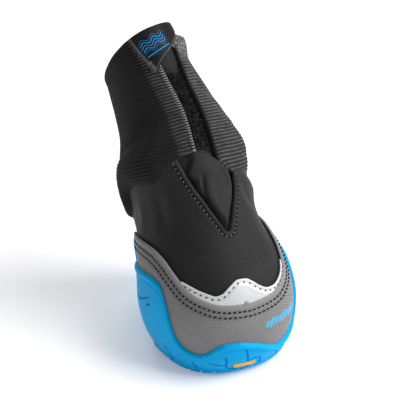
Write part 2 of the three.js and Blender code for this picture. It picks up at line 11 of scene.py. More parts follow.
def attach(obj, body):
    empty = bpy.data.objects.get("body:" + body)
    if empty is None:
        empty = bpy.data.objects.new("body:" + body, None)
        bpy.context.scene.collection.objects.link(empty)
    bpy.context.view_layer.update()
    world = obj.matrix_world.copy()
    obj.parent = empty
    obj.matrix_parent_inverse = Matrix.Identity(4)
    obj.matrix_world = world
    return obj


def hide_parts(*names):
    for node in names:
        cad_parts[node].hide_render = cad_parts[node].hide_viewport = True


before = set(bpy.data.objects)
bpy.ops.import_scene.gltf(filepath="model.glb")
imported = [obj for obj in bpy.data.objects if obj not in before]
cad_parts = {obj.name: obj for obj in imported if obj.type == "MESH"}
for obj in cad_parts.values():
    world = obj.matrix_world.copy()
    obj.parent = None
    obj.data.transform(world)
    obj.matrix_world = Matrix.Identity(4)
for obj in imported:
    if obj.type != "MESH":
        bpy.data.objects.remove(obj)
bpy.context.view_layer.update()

bl_info = {
    "name": "Dog Boot",
    "version": (1, 0, 0),
    "blender": (4, 5, 0),
    "location": "View3D > Sidebar > Dog Boot",
    "description": "Dresses the dog boot in rubber, softshell, coated mesh and knit",
    "category": "Object",
}

# The last, in the sizes and the order of the part's own source: millimetres, toe towards -Y
LENGTH = 100.0
BALL_WIDTH = 71.0
HEIGHT = 150.0
ORIGIN = np.array([0.013, -12.669, 0.0])
MM = 0.001

GAP = 0.35
SEAT = 0.55
UPPER_WALL = 1.8
BUMPER_WALL = 1.0
BUMPER_CROWN = 0.4
TRIM_WALL = 0.7
TONGUE_WALL = 1.2
GAITER_WALL = 1.8
STRIP_WALL = 1.5
TAB_WALL = 1.3
SOLE_WALL = 2.4
OUTER_FACE = GAP + SOLE_WALL

COLUMNS = (
    "front_y",
    "front_z",
    "back_y",
    "back_z",
    "width",
    "widest",
    "shift",
    "toe",
    "heel",
    "waist",
)
LAST = np.array(
    [
        [-40.0, 3.7, 32.5, 3.0, 82, 50, 0.0, 2.15, 3.0, 30],
        [-44.5, 9.0, 42.0, 7.3, 90, 50, 0.0, 2.2, 3.2, 33],
        [-45.8, 18.0, 50.0, 13.3, 94, 48, 0.0, 2.3, 3.4, 34],
        [-43.0, 26.7, 55.0, 19.3, 91, 46, 0.0, 2.3, 3.6, 32],
        [-36.0, 33.7, 58.0, 24.7, 85, 46, 0.5, 2.25, 3.0, 24],
        [-25.0, 39.0, 59.5, 29.0, 78, 48, 1.5, 2.2, 2.6, 11],
        [-14.0, 45.0, 60.5, 33.3, 75, 50, 3.2, 2.15, 2.3, 3],
        [-4.0, 53.0, 61.5, 37.3, 78, 52, 3.8, 2.1, 2.2, 0],
        [5.0, 63.3, 62.5, 43.3, 82, 50, 3.0, 2.1, 2.1, 0],
        [13.0, 72.7, 64.5, 51.3, 70, 50, 0.8, 2.1, 2.1, 0],
        [22.0, 81.3, 68.5, 60.0, 60, 50, -3.4, 2.1, 2.1, 0],
        [30.5, 89.0, 73.0, 67.3, 53, 50, -7.0, 2.1, 2.1, 0],
        [37.0, 95.3, 76.5, 73.3, 49, 50, -10.0, 2.1, 2.1, 0],
    ]
)
COLLAR_ROW = len(LAST) - 1
WAIST_END = 0.6

# Edges: pairs of an angle round the last, from the toe, and a row of the last. Those that
# start at 0 are the same on both sides.
SOLE_EDGE = [
    (-180, 3.3), (-154, 3.25), (-147, 3.0), (-141, 2.3), (-132, 2.0), (-120, 2.2), (-106, 2.9),
    (-93, 3.45), (-80, 3.5), (-70, 3.33), (-64, 2.6), (-59, 1.65), (-54, 1.25), (-48, 1.07),
    (-41, 1.0), (-34, 1.15), (-27, 1.4), (-19, 1.55), (-10, 1.55), (0, 1.4), (10, 1.15),
    (22, 0.88), (32, 0.9), (44, 0.95), (54, 1.2), (59, 1.75), (64, 2.7), (70, 3.35), (80, 3.55),
    (93, 3.6), (106, 3.2), (120, 2.4), (132, 2.0), (141, 2.3), (147, 3.0), (154, 3.25),
    (180, 3.3),
]
BUMPER_EDGE = [
    (0, 2.85), (20, 2.95), (32, 3.12), (45, 3.42), (57, 4.0), (66, 4.45), (76, 4.72), (90, 4.8),
    (106, 4.6), (118, 3.9), (126, 2.75),
]
TRIM_EDGE = [
    (-50, 3.74), (-43, 3.62), (-37, 3.5), (-30, 3.38), (-23, 3.28), (-18, 3.34), (-11, 3.58),
    (-4, 3.76), (0, 3.74), (4, 3.6), (9, 3.36), (16, 3.18), (22, 3.16), (30, 3.24), (38, 3.4),
    (46, 3.66),
]
COLLAR_EDGE = [
    (-180, 4.1), (-152, 4.25), (-136, 4.6), (-122, 5.1), (-110, 5.85), (-101, 6.6), (-90, 7.15),
    (-78, 7.35), (-57, 7.35), (-46, 7.55), (-37, 7.8), (-27, 7.88), (-19, 7.95), (-8, 8.0),
    (8, 7.75), (14, 7.55), (20, 7.35), (27, 7.25), (51, 7.1), (61, 6.95), (73, 6.95), (84, 6.9),
    (93, 6.75), (101, 6.4), (110, 5.85), (122, 5.1), (136, 4.6), (152, 4.25), (180, 4.1),
]
GAITER_TOP = [(0, 12.0), (30, 12.0), (60, 11.8), (90, 11.5), (130, 11.2), (180, 11.1)]

# Pairs of a row and the angle of an edge: the V of the throat and the slit of the gaiter
THROAT_LEFT = [
    (5.5, -1), (5.75, -4), (6.0, -7), (6.25, -10), (6.55, -13.5), (6.8, -16.7), (7.1, -20.5),
]
THROAT_RIGHT = [
    (5.5, 1.5), (5.75, 6.5), (6.0, 10.5), (6.25, 14.5), (6.55, 20), (6.8, 23.5), (7.1, 25.8),
]
THROAT_CORNERS = ((-27, 7.85), (27, 7.25))
SLIT_LEFT = [
    (7.8, -8), (8.75, -7.5), (9.4, -7), (10.2, -8.5), (10.65, -9.5), (11.2, -12), (12.0, -15),
]
SLIT_RIGHT = [
    (7.8, 10.5), (8.75, 13), (9.4, 15.5), (10.2, 19.5), (10.65, 23), (11.2, 29), (12.0, 38),
]

TONGUE_REACH = 32.0
TONGUE_TIP_ROW = 5.0
TONGUE_TIP_SWEEP = 1.2
TONGUE_TOP_ROW = 8.05

# The gaiter: a bulge over its seam, less of it at the right, and a flared right flap
BULGE_RISE = 4.2
BULGE_HEIGHT = 0.31
BULGE_SKEW = 0.75
BULGE_FULLNESS = 0.8
BULGE_ANGLES = (20, 55)
LESS_RIGHT = 0.65
LESS_RIGHT_ANGLES = (10, 40, 90, 130)
FLARE_RISE = 3.2
FLARE_ROWS = (10.8, 11.6)
FLARE_ANGLES = (42, 66, 95, 140)
ROLLED_EDGE = 0.5

BUMPER_END_ANGLE = 126.0
TRIM_START_ANGLE = -50.0
TRIM_END_ANGLE = 46.0
STRIP_START_ANGLE = -30.0
STRIP_END_ANGLE = 46.0
STRIP_TOP_ROW = 11.5
TAB_LOW = [
    (-33, 11.85), (-26, 11.2), (-17, 10.55), (-7, 10.8), (4, 11.05), (20, 11.4), (35, 11.75),
    (44, 12.1),
]
TAB_HIGH = [
    (-33, 12.02), (-26, 12.08), (-17, 12.14), (-7, 12.2), (4, 12.25), (20, 12.32), (35, 12.38),
    (44, 12.4),
]

SPRING_START_Y = -25.0
SPRING_REACH = 20.0
SPRING_RISE = 3.0
GROUND_INSET = 2.0
TREAD_PITCH = 15.6
TREAD_MIDDLE_Y = -10.8
TOE_BADGE_ANGLE = -6.0
TOE_BADGE_HALF_ANGLE = 8.5
TOE_BADGE_ROWS = (0.16, 0.58)
DEGREES_PER_MM = 1.7
SOLE_BADGE_Y = 25.5

# Stitches and painted glints on black thread: their length and thickness, in millimetres
THROAT_GLINT = (0.8, 0.5)
THROAT_HOLE = (1.3, 0.85)
BUMPER_STITCH = (1.5, 0.8)
BUMPER_GLINT = (0.9, 0.5)
TRIM_STITCH = (1.15, 0.8)
STRIP_STITCH = (0.9, 0.45)


def smooth(value, low, high):
    """0 below low, 1 above high and a soft step between them."""
    t = np.clip((np.asarray(value, float) - low) / (high - low), 0, 1)
    return t * t * (3 - 2 * t)


def wrapped(angle):
    """The same angle between -180 and 180."""
    return angle - 360 * np.round(np.asarray(angle, float) / 360)


def curve_through(pairs):
    """A curve without overshoot through pairs of x and y."""
    xs, ys = np.array(pairs, float).T
    slopes = np.diff(ys) / np.diff(xs)
    before = np.concatenate((slopes[:1], slopes))
    after = np.concatenate((slopes, slopes[-1:]))
    same_way = before * after > 0
    total = np.where(same_way, before + after, 1)
    tangents = np.where(same_way, 2 * before * after / total, 0)

    def at(x):
        x = np.clip(np.asarray(x, float), xs[0], xs[-1])
        k = np.clip(np.searchsorted(xs, x) - 1, 0, len(xs) - 2)
        step = xs[k + 1] - xs[k]
        t = (x - xs[k]) / step
        cubic = 2 * t**3 - 3 * t**2
        ends = (cubic + 1) * ys[k] - cubic * ys[k + 1]
        bends = (t**3 - 2 * t**2 + t) * tangents[k] + (t**3 - t**2) * tangents[k + 1]
        return ends + step * bends

    return at


def edge_around(pairs):
    """A row at each angle of an edge."""
    curve = curve_through(pairs)
    if pairs[0][0] == 0:
        return lambda angle: curve(np.abs(wrapped(angle)))
    return lambda angle: curve(wrapped(angle))


sole_edge = edge_around(SOLE_EDGE)
bumper_edge = edge_around(BUMPER_EDGE)
trim_edge = edge_around(TRIM_EDGE)
collar_edge = edge_around(COLLAR_EDGE)
gaiter_top = edge_around(GAITER_TOP)
throat_left = curve_through([*THROAT_LEFT, SLIT_LEFT[0]])
throat_right = curve_through([*THROAT_RIGHT, SLIT_RIGHT[0]])
THROAT = [
    THROAT_CORNERS[0],
    *[(angle, row) for row, angle in reversed(THROAT_LEFT)],
    *[(angle, row) for row, angle in THROAT_RIGHT],
    THROAT_CORNERS[1],
]
throat_edge = curve_through(THROAT)
slit_left = curve_through(SLIT_LEFT)
slit_right = curve_through(SLIT_RIGHT)


def section(name, row):
    """A column of the last's table at a row, smooth between its rows."""
    column = LAST[:, COLUMNS.index(name)]
    k = np.minimum(np.floor(row).astype(int), COLLAR_ROW - 1)
    t = row - k
    low, high = column[k], column[k + 1]
    start = np.where(k == 0, high - low, (high - column[np.maximum(k - 1, 0)]) / 2)
    past = column[np.minimum(k + 2, COLLAR_ROW)]
    end = np.where(k == COLLAR_ROW - 1, high - low, (past - low) / 2)
    cubic = 2 * t**3 - 3 * t**2
    bends = (t**3 - 2 * t**2 + t) * start + (t**3 - t**2) * end
    return (cubic + 1) * low - cubic * high + bends


def point_in_table(angle, row):
    """A point on the last, from the table's sections."""
    turn = np.radians(angle)
    power = 2 / np.where(np.cos(turn) > 0, section("toe", row), section("heel", row))
    along = np.sign(np.cos(turn)) * np.abs(np.cos(turn)) ** power
    across = np.sign(np.sin(turn)) * np.abs(np.sin(turn)) ** power
    widest = section("widest", row) / 100
    share = np.where(along > 0, widest * (1 - along), widest - (1 - widest) * along)
    y = section("front_y", row) * (1 - share) + section("back_y", row) * share
    z = section("front_z", row) * (1 - share) + section("back_z", row) * share
    drawn_in = 1 - section("waist", row) / 100 * smooth(-along, 0, WAIST_END)
    x = section("shift", row) + section("width", row) / 2 * across * drawn_in
    return np.stack((x * BALL_WIDTH, y * LENGTH, z * HEIGHT), -1) / 100


def last_point(angle, row):
    """A point on the last, in millimetres. Past the first or last row it goes on straight."""
    angle, row = np.broadcast_arrays(np.asarray(angle, float), np.asarray(row, float))
    inside = np.clip(row, 0, COLLAR_ROW)
    step = np.where(row < 0, 0.05, -0.05)
    edge = point_in_table(angle, inside)
    near = point_in_table(angle, inside + np.where(inside == row, 0, step))
    return edge + (near - edge) * ((row - inside) / step)[..., None]


def unit(vectors):
    """Vectors of the length 1."""
    return vectors / np.maximum(np.linalg.norm(vectors, axis=-1, keepdims=True), 1e-9)


def outward(angle, row):
    """The way that the last faces."""
    around = last_point(angle + 1, row) - last_point(angle - 1, row)
    upward = last_point(angle, row + 0.03) - last_point(angle, row - 0.03)
    return unit(np.cross(around, upward))


def on_last(angle, row, out):
    """A point at a height over the last, at an angle and a row."""
    return last_point(angle, row) + outward(angle, row) * np.asarray(out, float)[..., None]


def rows_for(length, angle, row):
    """The rows that a length on the last takes up."""
    step = last_point(angle, row + 0.1) - last_point(angle, row)
    return length * 0.1 / np.linalg.norm(step, axis=-1)


def ground(y):
    """Height of the underside, which springs up at the toe."""
    past = np.clip((SPRING_START_Y - y) / SPRING_REACH, 0, 1.2)
    return SPRING_RISE * past * past


def distance_to(points, line):
    """Distance of each point to a line of points."""
    flat = points.reshape(-1, 3)
    nearest = np.full(len(flat), 1e9)
    for start, end in zip(line[:-1], line[1:]):
        way = end - start
        share = np.clip((flat - start) @ way / max(way @ way, 1e-9), 0, 1)
        gap = np.linalg.norm(flat - start - share[:, None] * way, axis=1)
        nearest = np.minimum(nearest, gap)
    return nearest.reshape(points.shape[:-1])


def dent(away, at, width):
    """From 0 to 1 and back to 0, round a distance from a line."""
    return np.exp(-(((away - at) / width) ** 2))


def from_edge(points, edge, first, last, count):
    """Distance of each point to an edge between two angles."""
    around = np.linspace(first, last, count)
    return distance_to(points, last_point(around, edge(around)))


def past(edge, length=GAP):
    """An edge that is moved up the last by a length."""
    return lambda angle: edge(angle) + rows_for(length, angle, edge(angle))


def whole_turn(count):
    """Angles once round the last."""
    return np.linspace(-180, 180, count + 1)[:-1]


def path_on_last(stops, steps=12):
    """A smooth line on the last through stops of angle and row."""
    stops = np.array(stops, float)
    lengths = np.linalg.norm(np.diff(last_point(stops[:, 0], stops[:, 1]), axis=0), axis=1)
    at = np.concatenate(([0], np.cumsum(lengths)))
    fine = np.linspace(0, at[-1], steps * (len(stops) - 1) + 1)
    angle = curve_through(list(zip(at, stops[:, 0])))(fine)
    row = curve_through(list(zip(at, stops[:, 1])))(fine)
    return angle, row, last_point(angle, row)


def fold(points, stops, width, height):
    """A soft ridge, or a trough where height is negative, along a line on the last."""
    line = path_on_last(stops)[2]
    ends = np.minimum(
        np.linalg.norm(points - line[0], axis=-1), np.linalg.norm(points - line[-1], axis=-1)
    )
    fade = 0.35 + 0.65 * smooth(ends, 0, 2.5 * width)
    return height * fade * dent(distance_to(points, line), 0, width)


# Meshes


def to_frame(points):
    """Points of the last in the shared frame, in metres."""
    return (points + ORIGIN) * MM


def quads(index):
    """Faces between the points of a grid."""
    corners = (index[:-1, :-1], index[:-1, 1:], index[1:, 1:], index[1:, :-1])
    return np.stack(corners, -1).reshape(-1, 4)


def band(before, after):
    """Faces between two closed rows of points."""
    return np.stack((np.roll(before, -1), before, after, np.roll(after, -1)), -1)


def wall_mesh(outer, inner, ring, rim_steps=4, bulge=1.0):
    """Points and faces of a wall between two grids of points, with round edges."""
    rows, columns = outer.shape[:2]
    count = rows * columns
    index = np.arange(count).reshape(rows, columns)
    spread = np.hstack((index, index[:, :1])) if ring else index
    outside = quads(spread)
    faces = [outside, outside[:, [0, 3, 2, 1]] + count]
    if ring:
        borders = [index[0], index[-1][::-1]]
    else:
        around = (index[0, :-1], index[:-1, -1], index[-1, :0:-1], index[:0:-1, 0])
        borders = [np.concatenate(around)]
    outer_flat, inner_flat = outer.reshape(-1, 3), inner.reshape(-1, 3)
    points = [outer_flat, inner_flat]
    source = [np.arange(count), np.arange(count)]
    total = 2 * count
    for border in borders:
        top, low = outer_flat[border], inner_flat[border]
        middle, half = (top + low) / 2, (top - low) / 2
        way = np.roll(top, -1, 0) - np.roll(top, 1, 0)
        aside = unit(np.cross(way, half)) * np.linalg.norm(half, axis=1)[:, None] * bulge
        before = border
        for k in range(1, rim_steps):
            turn = math.pi * k / rim_steps
            points.append(middle + half * math.cos(turn) + aside * math.sin(turn))
            source.append(border)
            after = total + np.arange(len(border))
            total += len(border)
            faces.append(band(before, after))
            before = after
        faces.append(band(before, border + count))
    return np.concatenate(points), np.concatenate(faces), np.concatenate(source)


def mesh_object(name, points, faces, finish, uv=None, values=None):
    """An object from points in millimetres, with its own cloth map and point values."""
    mesh = bpy.data.meshes.new(name)
    sides = faces.tolist() if isinstance(faces, np.ndarray) else faces
    mesh.from_pydata(to_frame(points).tolist(), [], sides)
    if uv is not None:
        layer = mesh.uv_layers.new(name="cloth")
        corners = np.zeros(len(mesh.loops), int)
        mesh.loops.foreach_get("vertex_index", corners)
        layer.data.foreach_set("uv", uv[corners].astype(np.float32).ravel())
    for key, value in (values or {}).items():
        attribute = mesh.attributes.new(key, "FLOAT", "POINT")
        attribute.data.foreach_set("value", np.asarray(value, np.float32))
    mesh.polygons.foreach_set("use_smooth", np.ones(len(mesh.polygons), bool))
    mesh.materials.append(finish)
    piece = bpy.data.objects.new(name, mesh)
    bpy.context.scene.collection.objects.link(piece)
    clean(mesh)
    return piece


def clean(mesh):
    """Merges points that coincide and drops faces without an area."""
    shape = bmesh.new()
    shape.from_mesh(mesh)
    bmesh.ops.remove_doubles(shape, verts=shape.verts, dist=2e-6)
    bmesh.ops.dissolve_degenerate(shape, edges=shape.edges, dist=1e-6)
    shape.to_mesh(mesh)
    shape.free()


def wall_piece(name, angle, row, outer, inner, finish, ring=False, values=None, bulge=1.0):
    """A piece of cloth or rubber that follows the last."""
    outer_points = on_last(angle, row, outer)
    inner_points = on_last(angle, row, inner)
    points, faces, source = wall_mesh(outer_points, inner_points, ring, bulge=bulge)
    s, t = cloth_map(last_point(angle, row))
    uv = np.stack((np.broadcast_to(s, angle.shape), t), -1).reshape(-1, 2)[source]
    given = {key: value.ravel()[source] for key, value in (values or {}).items()}
    return mesh_object(name, points, faces, finish, uv, given)


def cloth_map(base):
    """Lengths along a grid of points, one per column, and up it, one per point."""
    across = np.linalg.norm(np.diff(base, axis=1), axis=2).mean(0)
    rise = np.linalg.norm(np.diff(base, axis=0), axis=2)
    s = np.concatenate(([0], np.cumsum(across)))
    t = np.concatenate((np.zeros((1, base.shape[1])), np.cumsum(rise, 0)))
    return s, t


def grid_between(first, last, low, high, columns, rows):
    """Angles and rows of a grid between two angles and two edges, or level rows."""
    angle = np.linspace(first, last, columns)
    share = np.linspace(0, 1, rows)[:, None]
    low, high = (edge(angle) if callable(edge) else edge + 0 * angle for edge in (low, high))
    row = low * (1 - share) + high * share
    return np.broadcast_to(angle, row.shape).copy(), row


def place(piece, nodes=()):
    """Puts the piece on its body and stands it in for the CAD's nodes."""
    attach(piece, "root")
    if nodes:
        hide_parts(*nodes)


def node_output(piece):
    """Puts the evaluated mesh of a piece in place of its modifiers."""
    bpy.context.view_layer.update()
    graph = bpy.context.evaluated_depsgraph_get()
    made = bpy.data.meshes.new_from_object(piece.evaluated_get(graph), depsgraph=graph)
    piece.modifiers.clear()
    made.name = piece.name
    piece.data = made


def coat(piece, finish, crease_deg):
    """Shades a piece smooth up to an angle and gives it one finish."""
    mesh = piece.data
    mesh.polygons.foreach_set("use_smooth", np.ones(len(mesh.polygons), bool))
    mesh.set_sharp_from_angle(angle=math.radians(crease_deg))
    mesh.materials.clear()
    mesh.materials.append(finish)


# Node trees of the finishes


class NodeMaker:
    """Adds nodes to a tree and feeds them with values or other nodes' sockets."""

    def add(self, kind, settings=None, **inputs):
        node = self.tree.nodes.new(kind)
        for key, value in (settings or {}).items():
            setattr(node, key, value)
        for key, value in inputs.items():
            self.feed(node.inputs[key.replace("_", " ")], value)
        return node

    def feed(self, socket, value):
        if isinstance(value, bpy.types.NodeSocket):
            self.tree.links.new(value, socket)
        else:
            socket.default_value = value

    def math(self, operation, first, second=0.0, third=0.0):
        node = self.add("ShaderNodeMath", {"operation": operation})
        for socket, value in zip(node.inputs, (first, second, third)):
            self.feed(socket, value)
        return node.outputs[0]


class Finish(NodeMaker):
    """A procedural material that is put together node by node."""

    def __init__(self, name):
        self.material = bpy.data.materials.new(name)
        self.material.use_nodes = True
        self.tree = self.material.node_tree
        self.shader = self.tree.nodes["Principled BSDF"]

    def set(self, **inputs):
        for key, value in inputs.items():
            self.feed(self.shader.inputs[key.replace("_", " ")], value)

    def place(self):
        return self.add("ShaderNodeTexCoord").outputs["Object"]

    def cloth(self):
        """The piece's own map, in millimetres: along it and up it."""
        uv = self.add("ShaderNodeUVMap", {"uv_map": "cloth"}).outputs["UV"]
        parts = self.add("ShaderNodeSeparateXYZ", Vector=uv)
        return parts.outputs["X"], parts.outputs["Y"]

    def value_of(self, name):
        return self.add("ShaderNodeAttribute", {"attribute_name": name}).outputs["Fac"]

    def noise(self, vector, scale, detail=2.0, roughness=0.5):
        node = self.add(
            "ShaderNodeTexNoise",
            Vector=vector,
            Scale=scale,
            Detail=detail,
            Roughness=roughness,
        )
        return node.outputs["Fac"]

    def ramp(self, value, low, high, from_value=0.0, to_value=1.0):
        """A soft step of a value from low to high."""
        node = self.add(
            "ShaderNodeMapRange",
            {"interpolation_type": "SMOOTHSTEP"},
            Value=value,
            From_Min=low,
            From_Max=high,
            To_Min=from_value,
            To_Max=to_value,
        )
        return node.outputs["Result"]

    def mix(self, share, first, second):
        node = self.add("ShaderNodeMix", {"data_type": "RGBA"})
        self.feed(node.inputs["Factor"], share)
        self.feed(node.inputs[6], first)
        self.feed(node.inputs[7], second)
        return node.outputs[2]

    def within(self, value, reach, blur):
        """1 where a value is nearer to 0 than its reach, with a blurred edge."""
        left = self.math("SUBTRACT", reach, self.math("ABSOLUTE", value))
        return self.ramp(left, -blur, blur)

    def wave(self, value, pitch):
        """From 0 to 1 and back over each pitch of a value."""
        turn = self.math("MULTIPLY", value, 2 * math.pi / pitch)
        return self.math("MULTIPLY_ADD", self.math("COSINE", turn), 0.5, 0.5)

    def bump(self, height, distance, strength=1.0, normal=None):
        node = self.add(
            "ShaderNodeBump", Height=height, Distance=distance, Strength=strength
        )
        if normal is not None:
            self.feed(node.inputs["Normal"], normal)
        return node.outputs["Normal"]


def colour(values, share=1.0):
    """A colour with its opacity, lighter or darker by a share."""
    return (values[0] * share, values[1] * share, values[2] * share, 1.0)


def srgb(*values):
    """A linear colour from the 0 to 255 of a colour chart."""
    parts = [value / 255 for value in values]
    return tuple(p / 12.92 if p <= 0.04045 else ((p + 0.055) / 1.055) ** 2.4 for p in parts)


def rubber_finish(shades):
    """Cast rubber, a little cloudy, with fine pale flecks."""
    f = Finish("cast_rubber")
    spot = f.place()
    flecks = f.add("ShaderNodeTexVoronoi", Vector=spot, Scale=330.0)
    rare = f.noise(spot, 140.0)
    fleck = f.math(
        "MULTIPLY",
        f.ramp(flecks.outputs["Distance"], 0.16, 0.07),
        f.ramp(rare, 0.60, 0.66),
    )
    cloud = f.noise(spot, 60.0, 3.0)
    base = f.mix(cloud, colour(shades.rubber, 0.86), colour(shades.rubber, 1.1))
    f.set(
        Base_Color=f.mix(fleck, base, (0.35, 0.75, 1.0, 1)),
        Roughness=f.ramp(cloud, 0.2, 0.8, 0.38, 0.5),
        Normal=f.bump(f.noise(spot, 1500.0, 3.0), 0.00006),
        Specular_IOR_Level=0.07,
    )
    return f.material


def amber_finish(shades):
    """Amber rubber of the inlays."""
    f = Finish("amber_rubber")
    spot = f.place()
    cloud = f.noise(spot, 420.0, 3.0)
    f.set(
        Base_Color=f.mix(cloud, colour(shades.amber, 0.8), colour(shades.amber, 1.15)),
        Roughness=0.42,
        Normal=f.bump(f.noise(spot, 1800.0), 0.00005),
        Specular_IOR_Level=0.3,
    )
    return f.material


def softshell_finish(shades):
    """Dense black stretch cloth with a little lint."""
    f = Finish("softshell_cloth")
    spot = f.place()
    weave = f.noise(spot, 2600.0, 2.0)
    cloud = f.noise(spot, 70.0, 3.0)
    tone = f.mix(cloud, colour(shades.softshell, 0.8), colour(shades.softshell, 1.25))
    lint = f.ramp(f.noise(spot, 900.0, 1.0), 0.66, 0.76)
    woven = f.mix(f.ramp(weave, 0.35, 0.75), tone, colour(shades.softshell, 1.9))
    f.set(
        Base_Color=f.mix(f.math("MULTIPLY", lint, 0.5), woven, colour(shades.softshell, 6.0)),
        Roughness=0.68,
        Normal=f.bump(weave, 0.00008, 0.7, f.bump(cloud, 0.0008, 0.35)),
        Specular_IOR_Level=0.3,
        Sheen_Weight=0.06,
        Sheen_Roughness=0.45,
    )
    return f.material


MESH_PITCH = 0.95
MESH_SLOPE = 1.732


def bumper_finish(shades):
    """Grey coated mesh, plain along its edge, with a print."""
    f = Finish("coated_mesh")
    s, t = f.cloth()
    first = f.wave(s, MESH_PITCH)
    second, third = (
        f.wave(f.math("MULTIPLY", f.math("MULTIPLY_ADD", t, slope, s), 0.5), MESH_PITCH)
        for slope in (MESH_SLOPE, -MESH_SLOPE)
    )
    dots = f.math("ADD", first, f.math("ADD", second, third))
    hole = f.ramp(dots, 1.35, 2.3)
    cloud = f.noise(f.place(), 90.0, 3.0)
    grit = f.noise(f.place(), 2400.0)
    base = f.mix(cloud, colour(shades.bumper, 0.88), colour(shades.bumper, 1.12))
    plain = f.value_of("plain")
    deep = f.math("MULTIPLY", hole, f.math("MULTIPLY_ADD", plain, -0.85, 0.95))
    meshed = f.mix(deep, base, colour(shades.bumper, 0.25))
    coat = f.mix(f.math("MULTIPLY", grit, 0.18), meshed, colour(shades.bumper, 1.7))
    f.set(
        Base_Color=f.mix(slanted_bars(f), coat, (0.04, 0.4, 0.68, 1)),
        Roughness=f.ramp(hole, 0.0, 1.0, 0.5, 0.75),
        Normal=f.bump(hole, 0.00014, -0.8),
        Specular_IOR_Level=0.3,
    )
    return f.material


BAR_SLANT = 0.45
BAR_PITCH = 2.6
BAR_SWELL_PITCH = 7.3
BARS_HALF_LENGTH = 11.0


def slanted_bars(f):
    """Share of a print of slanted bars, from the print's own place in millimetres."""
    x, y = f.value_of("print_x"), f.value_of("print_y")
    lean = f.math("MULTIPLY_ADD", y, -BAR_SLANT, x)
    bars = f.ramp(f.wave(lean, BAR_PITCH), 0.16, 0.26)
    swell = f.math("MULTIPLY_ADD", f.wave(lean, BAR_SWELL_PITCH), 0.9, 1.3)
    inside = f.within(y, swell, 0.08)
    ends = f.within(lean, BARS_HALF_LENGTH, 0.08)
    wear_and_painted_light = f.ramp(f.noise(f.place(), 1300.0, 2.0), 0.3, 0.42)
    return f.math("MULTIPLY", f.math("MULTIPLY", bars, inside), f.math("MULTIPLY", ends, wear_and_painted_light))


def trim_finish(shades):
    """Silver film with fine glass beads."""
    f = Finish("reflective_film")
    spot = f.place()
    beads = f.noise(spot, 3600.0)
    cloud = f.noise(spot, 75.0, 2.0)
    f.set(
        Base_Color=f.mix(cloud, colour(shades.trim, 0.8), colour(shades.trim, 1.08)),
        Metallic=0.15,
        Roughness=0.42,
        Normal=f.bump(beads, 0.00003),
    )
    return f.material


def knit_finish(shades):
    """Ribbed knit with lighter crests, painted light near the slit and on the right flap, a
    serged slit and a frayed hem.
    """
    f = Finish("ribbed_knit")
    s, _ = f.cloth()
    spot = f.place()
    wander = f.noise(spot, 260.0, 2.0)
    count = f.math("MULTIPLY_ADD", wander, 0.35, f.value_of("rib"))
    rib = f.wave(count, 1.0)
    tick = f.wave(f.math("MULTIPLY_ADD", wander, 1.6, s), 0.66)
    fuzz = f.noise(spot, 1500.0, 3.0, 0.7)
    patch = f.noise(spot, 210.0, 3.0, 0.6)
    crest = f.math("MULTIPLY", f.ramp(rib, 0.42, 0.98), f.ramp(tick, 0.0, 0.9, 0.5, 1.0))
    speck = f.math("MULTIPLY", crest, f.ramp(fuzz, 0.3, 0.7, 0.25, 1.3))
    # Painted light: the knit turns lighter grey near the slit and across the right flap, where
    # the key light falls.
    wear_and_painted_light = f.math("MULTIPLY", f.value_of("wear_and_painted_light"), f.ramp(patch, 0.3, 0.62, 0.5, 1.0))
    light = f.mix(wear_and_painted_light, colour(shades.knit, 1.9), colour(shades.knit_light))
    dark = f.mix(wear_and_painted_light, colour(shades.knit, 0.6), colour(shades.knit, 2.3))
    yarn = f.mix(speck, dark, light)
    overlock = f.ramp(f.wave(f.value_of("rib"), 0.8), 0.4, 0.8)
    serged = f.math("MULTIPLY", overlock, f.value_of("serge"))
    sewn = f.mix(serged, yarn, colour(shades.knit_light, 1.5))
    frayed = f.ramp(f.noise(spot, 1100.0, 2.0, 0.7), 0.48, 0.56)
    ragged = f.mix(frayed, colour(shades.knit, 1.2), colour(shades.knit_light, 1.6))
    hemmed = f.mix(f.value_of("hem"), sewn, ragged)
    f.set(
        # Near-black along the right edge of the slit.
        Base_Color=f.mix(f.value_of("bound"), hemmed, colour(shades.knit, 0.1)),
        Roughness=0.9,
        Normal=f.bump(fuzz, 0.00018, 0.8, f.bump(tick, 0.00012, 0.6)),
        Specular_IOR_Level=0.2,
        Sheen_Weight=0.04,
        Sheen_Roughness=0.6,
    )
    return f.material


def plain_cloth_finish(name, tone, grain=2200.0, rough=0.9, depth=0.0001):
    """A dense cloth, tape or thread of one tone."""
    f = Finish(name)
    spot = f.place()
    fuzz = f.noise(spot, grain, 3.0, 0.6)
    cloud = f.noise(spot, 160.0, 2.0)
    shade = f.math("MULTIPLY", fuzz, f.ramp(cloud, 0.2, 0.8, 0.6, 1.1))
    f.set(
        Base_Color=f.mix(shade, colour(tone, 0.45), colour(tone, 1.7)),
        Roughness=rough,
        Normal=f.bump(fuzz, depth, 0.8),
        Specular_IOR_Level=0.2,
    )
    return f.material


def label_finish(shades):
    """Black woven label with a motif and a line of stitches."""
    f = Finish("woven_label")
    s, t = f.cloth()
    warp = f.wave(s, 0.34)
    weft = f.wave(t, 0.3)
    weave = f.math("MULTIPLY", warp, weft)
    cloud = f.noise(f.place(), 120.0, 2.0)
    base = f.mix(cloud, colour(shades.label, 0.7), colour(shades.label, 1.4))
    satin = f.mix(f.math("MULTIPLY", weave, 0.6), base, colour(shades.label, 2.2))
    uneven = f.noise(f.place(), 260.0, 1.0)
    tint = f.mix(uneven, colour(shades.print, 0.5), colour(shades.print, 1.15))
    frayed = f.ramp(f.noise(f.place(), 1500.0, 2.0, 0.7), 0.42, 0.6, 0.35, 1.0)
    thread = f.math("MULTIPLY", f.value_of("stitched"), frayed)
    marked = f.mix(f.math("MULTIPLY", wave_motif(f), 0.9), satin, tint)
    f.set(
        Base_Color=f.mix(thread, marked, (0.10, 0.10, 0.104, 1)),
        Roughness=0.5,
        Normal=f.bump(weave, 0.00005, 0.6),
        Specular_IOR_Level=0.15,
    )
    return f.material


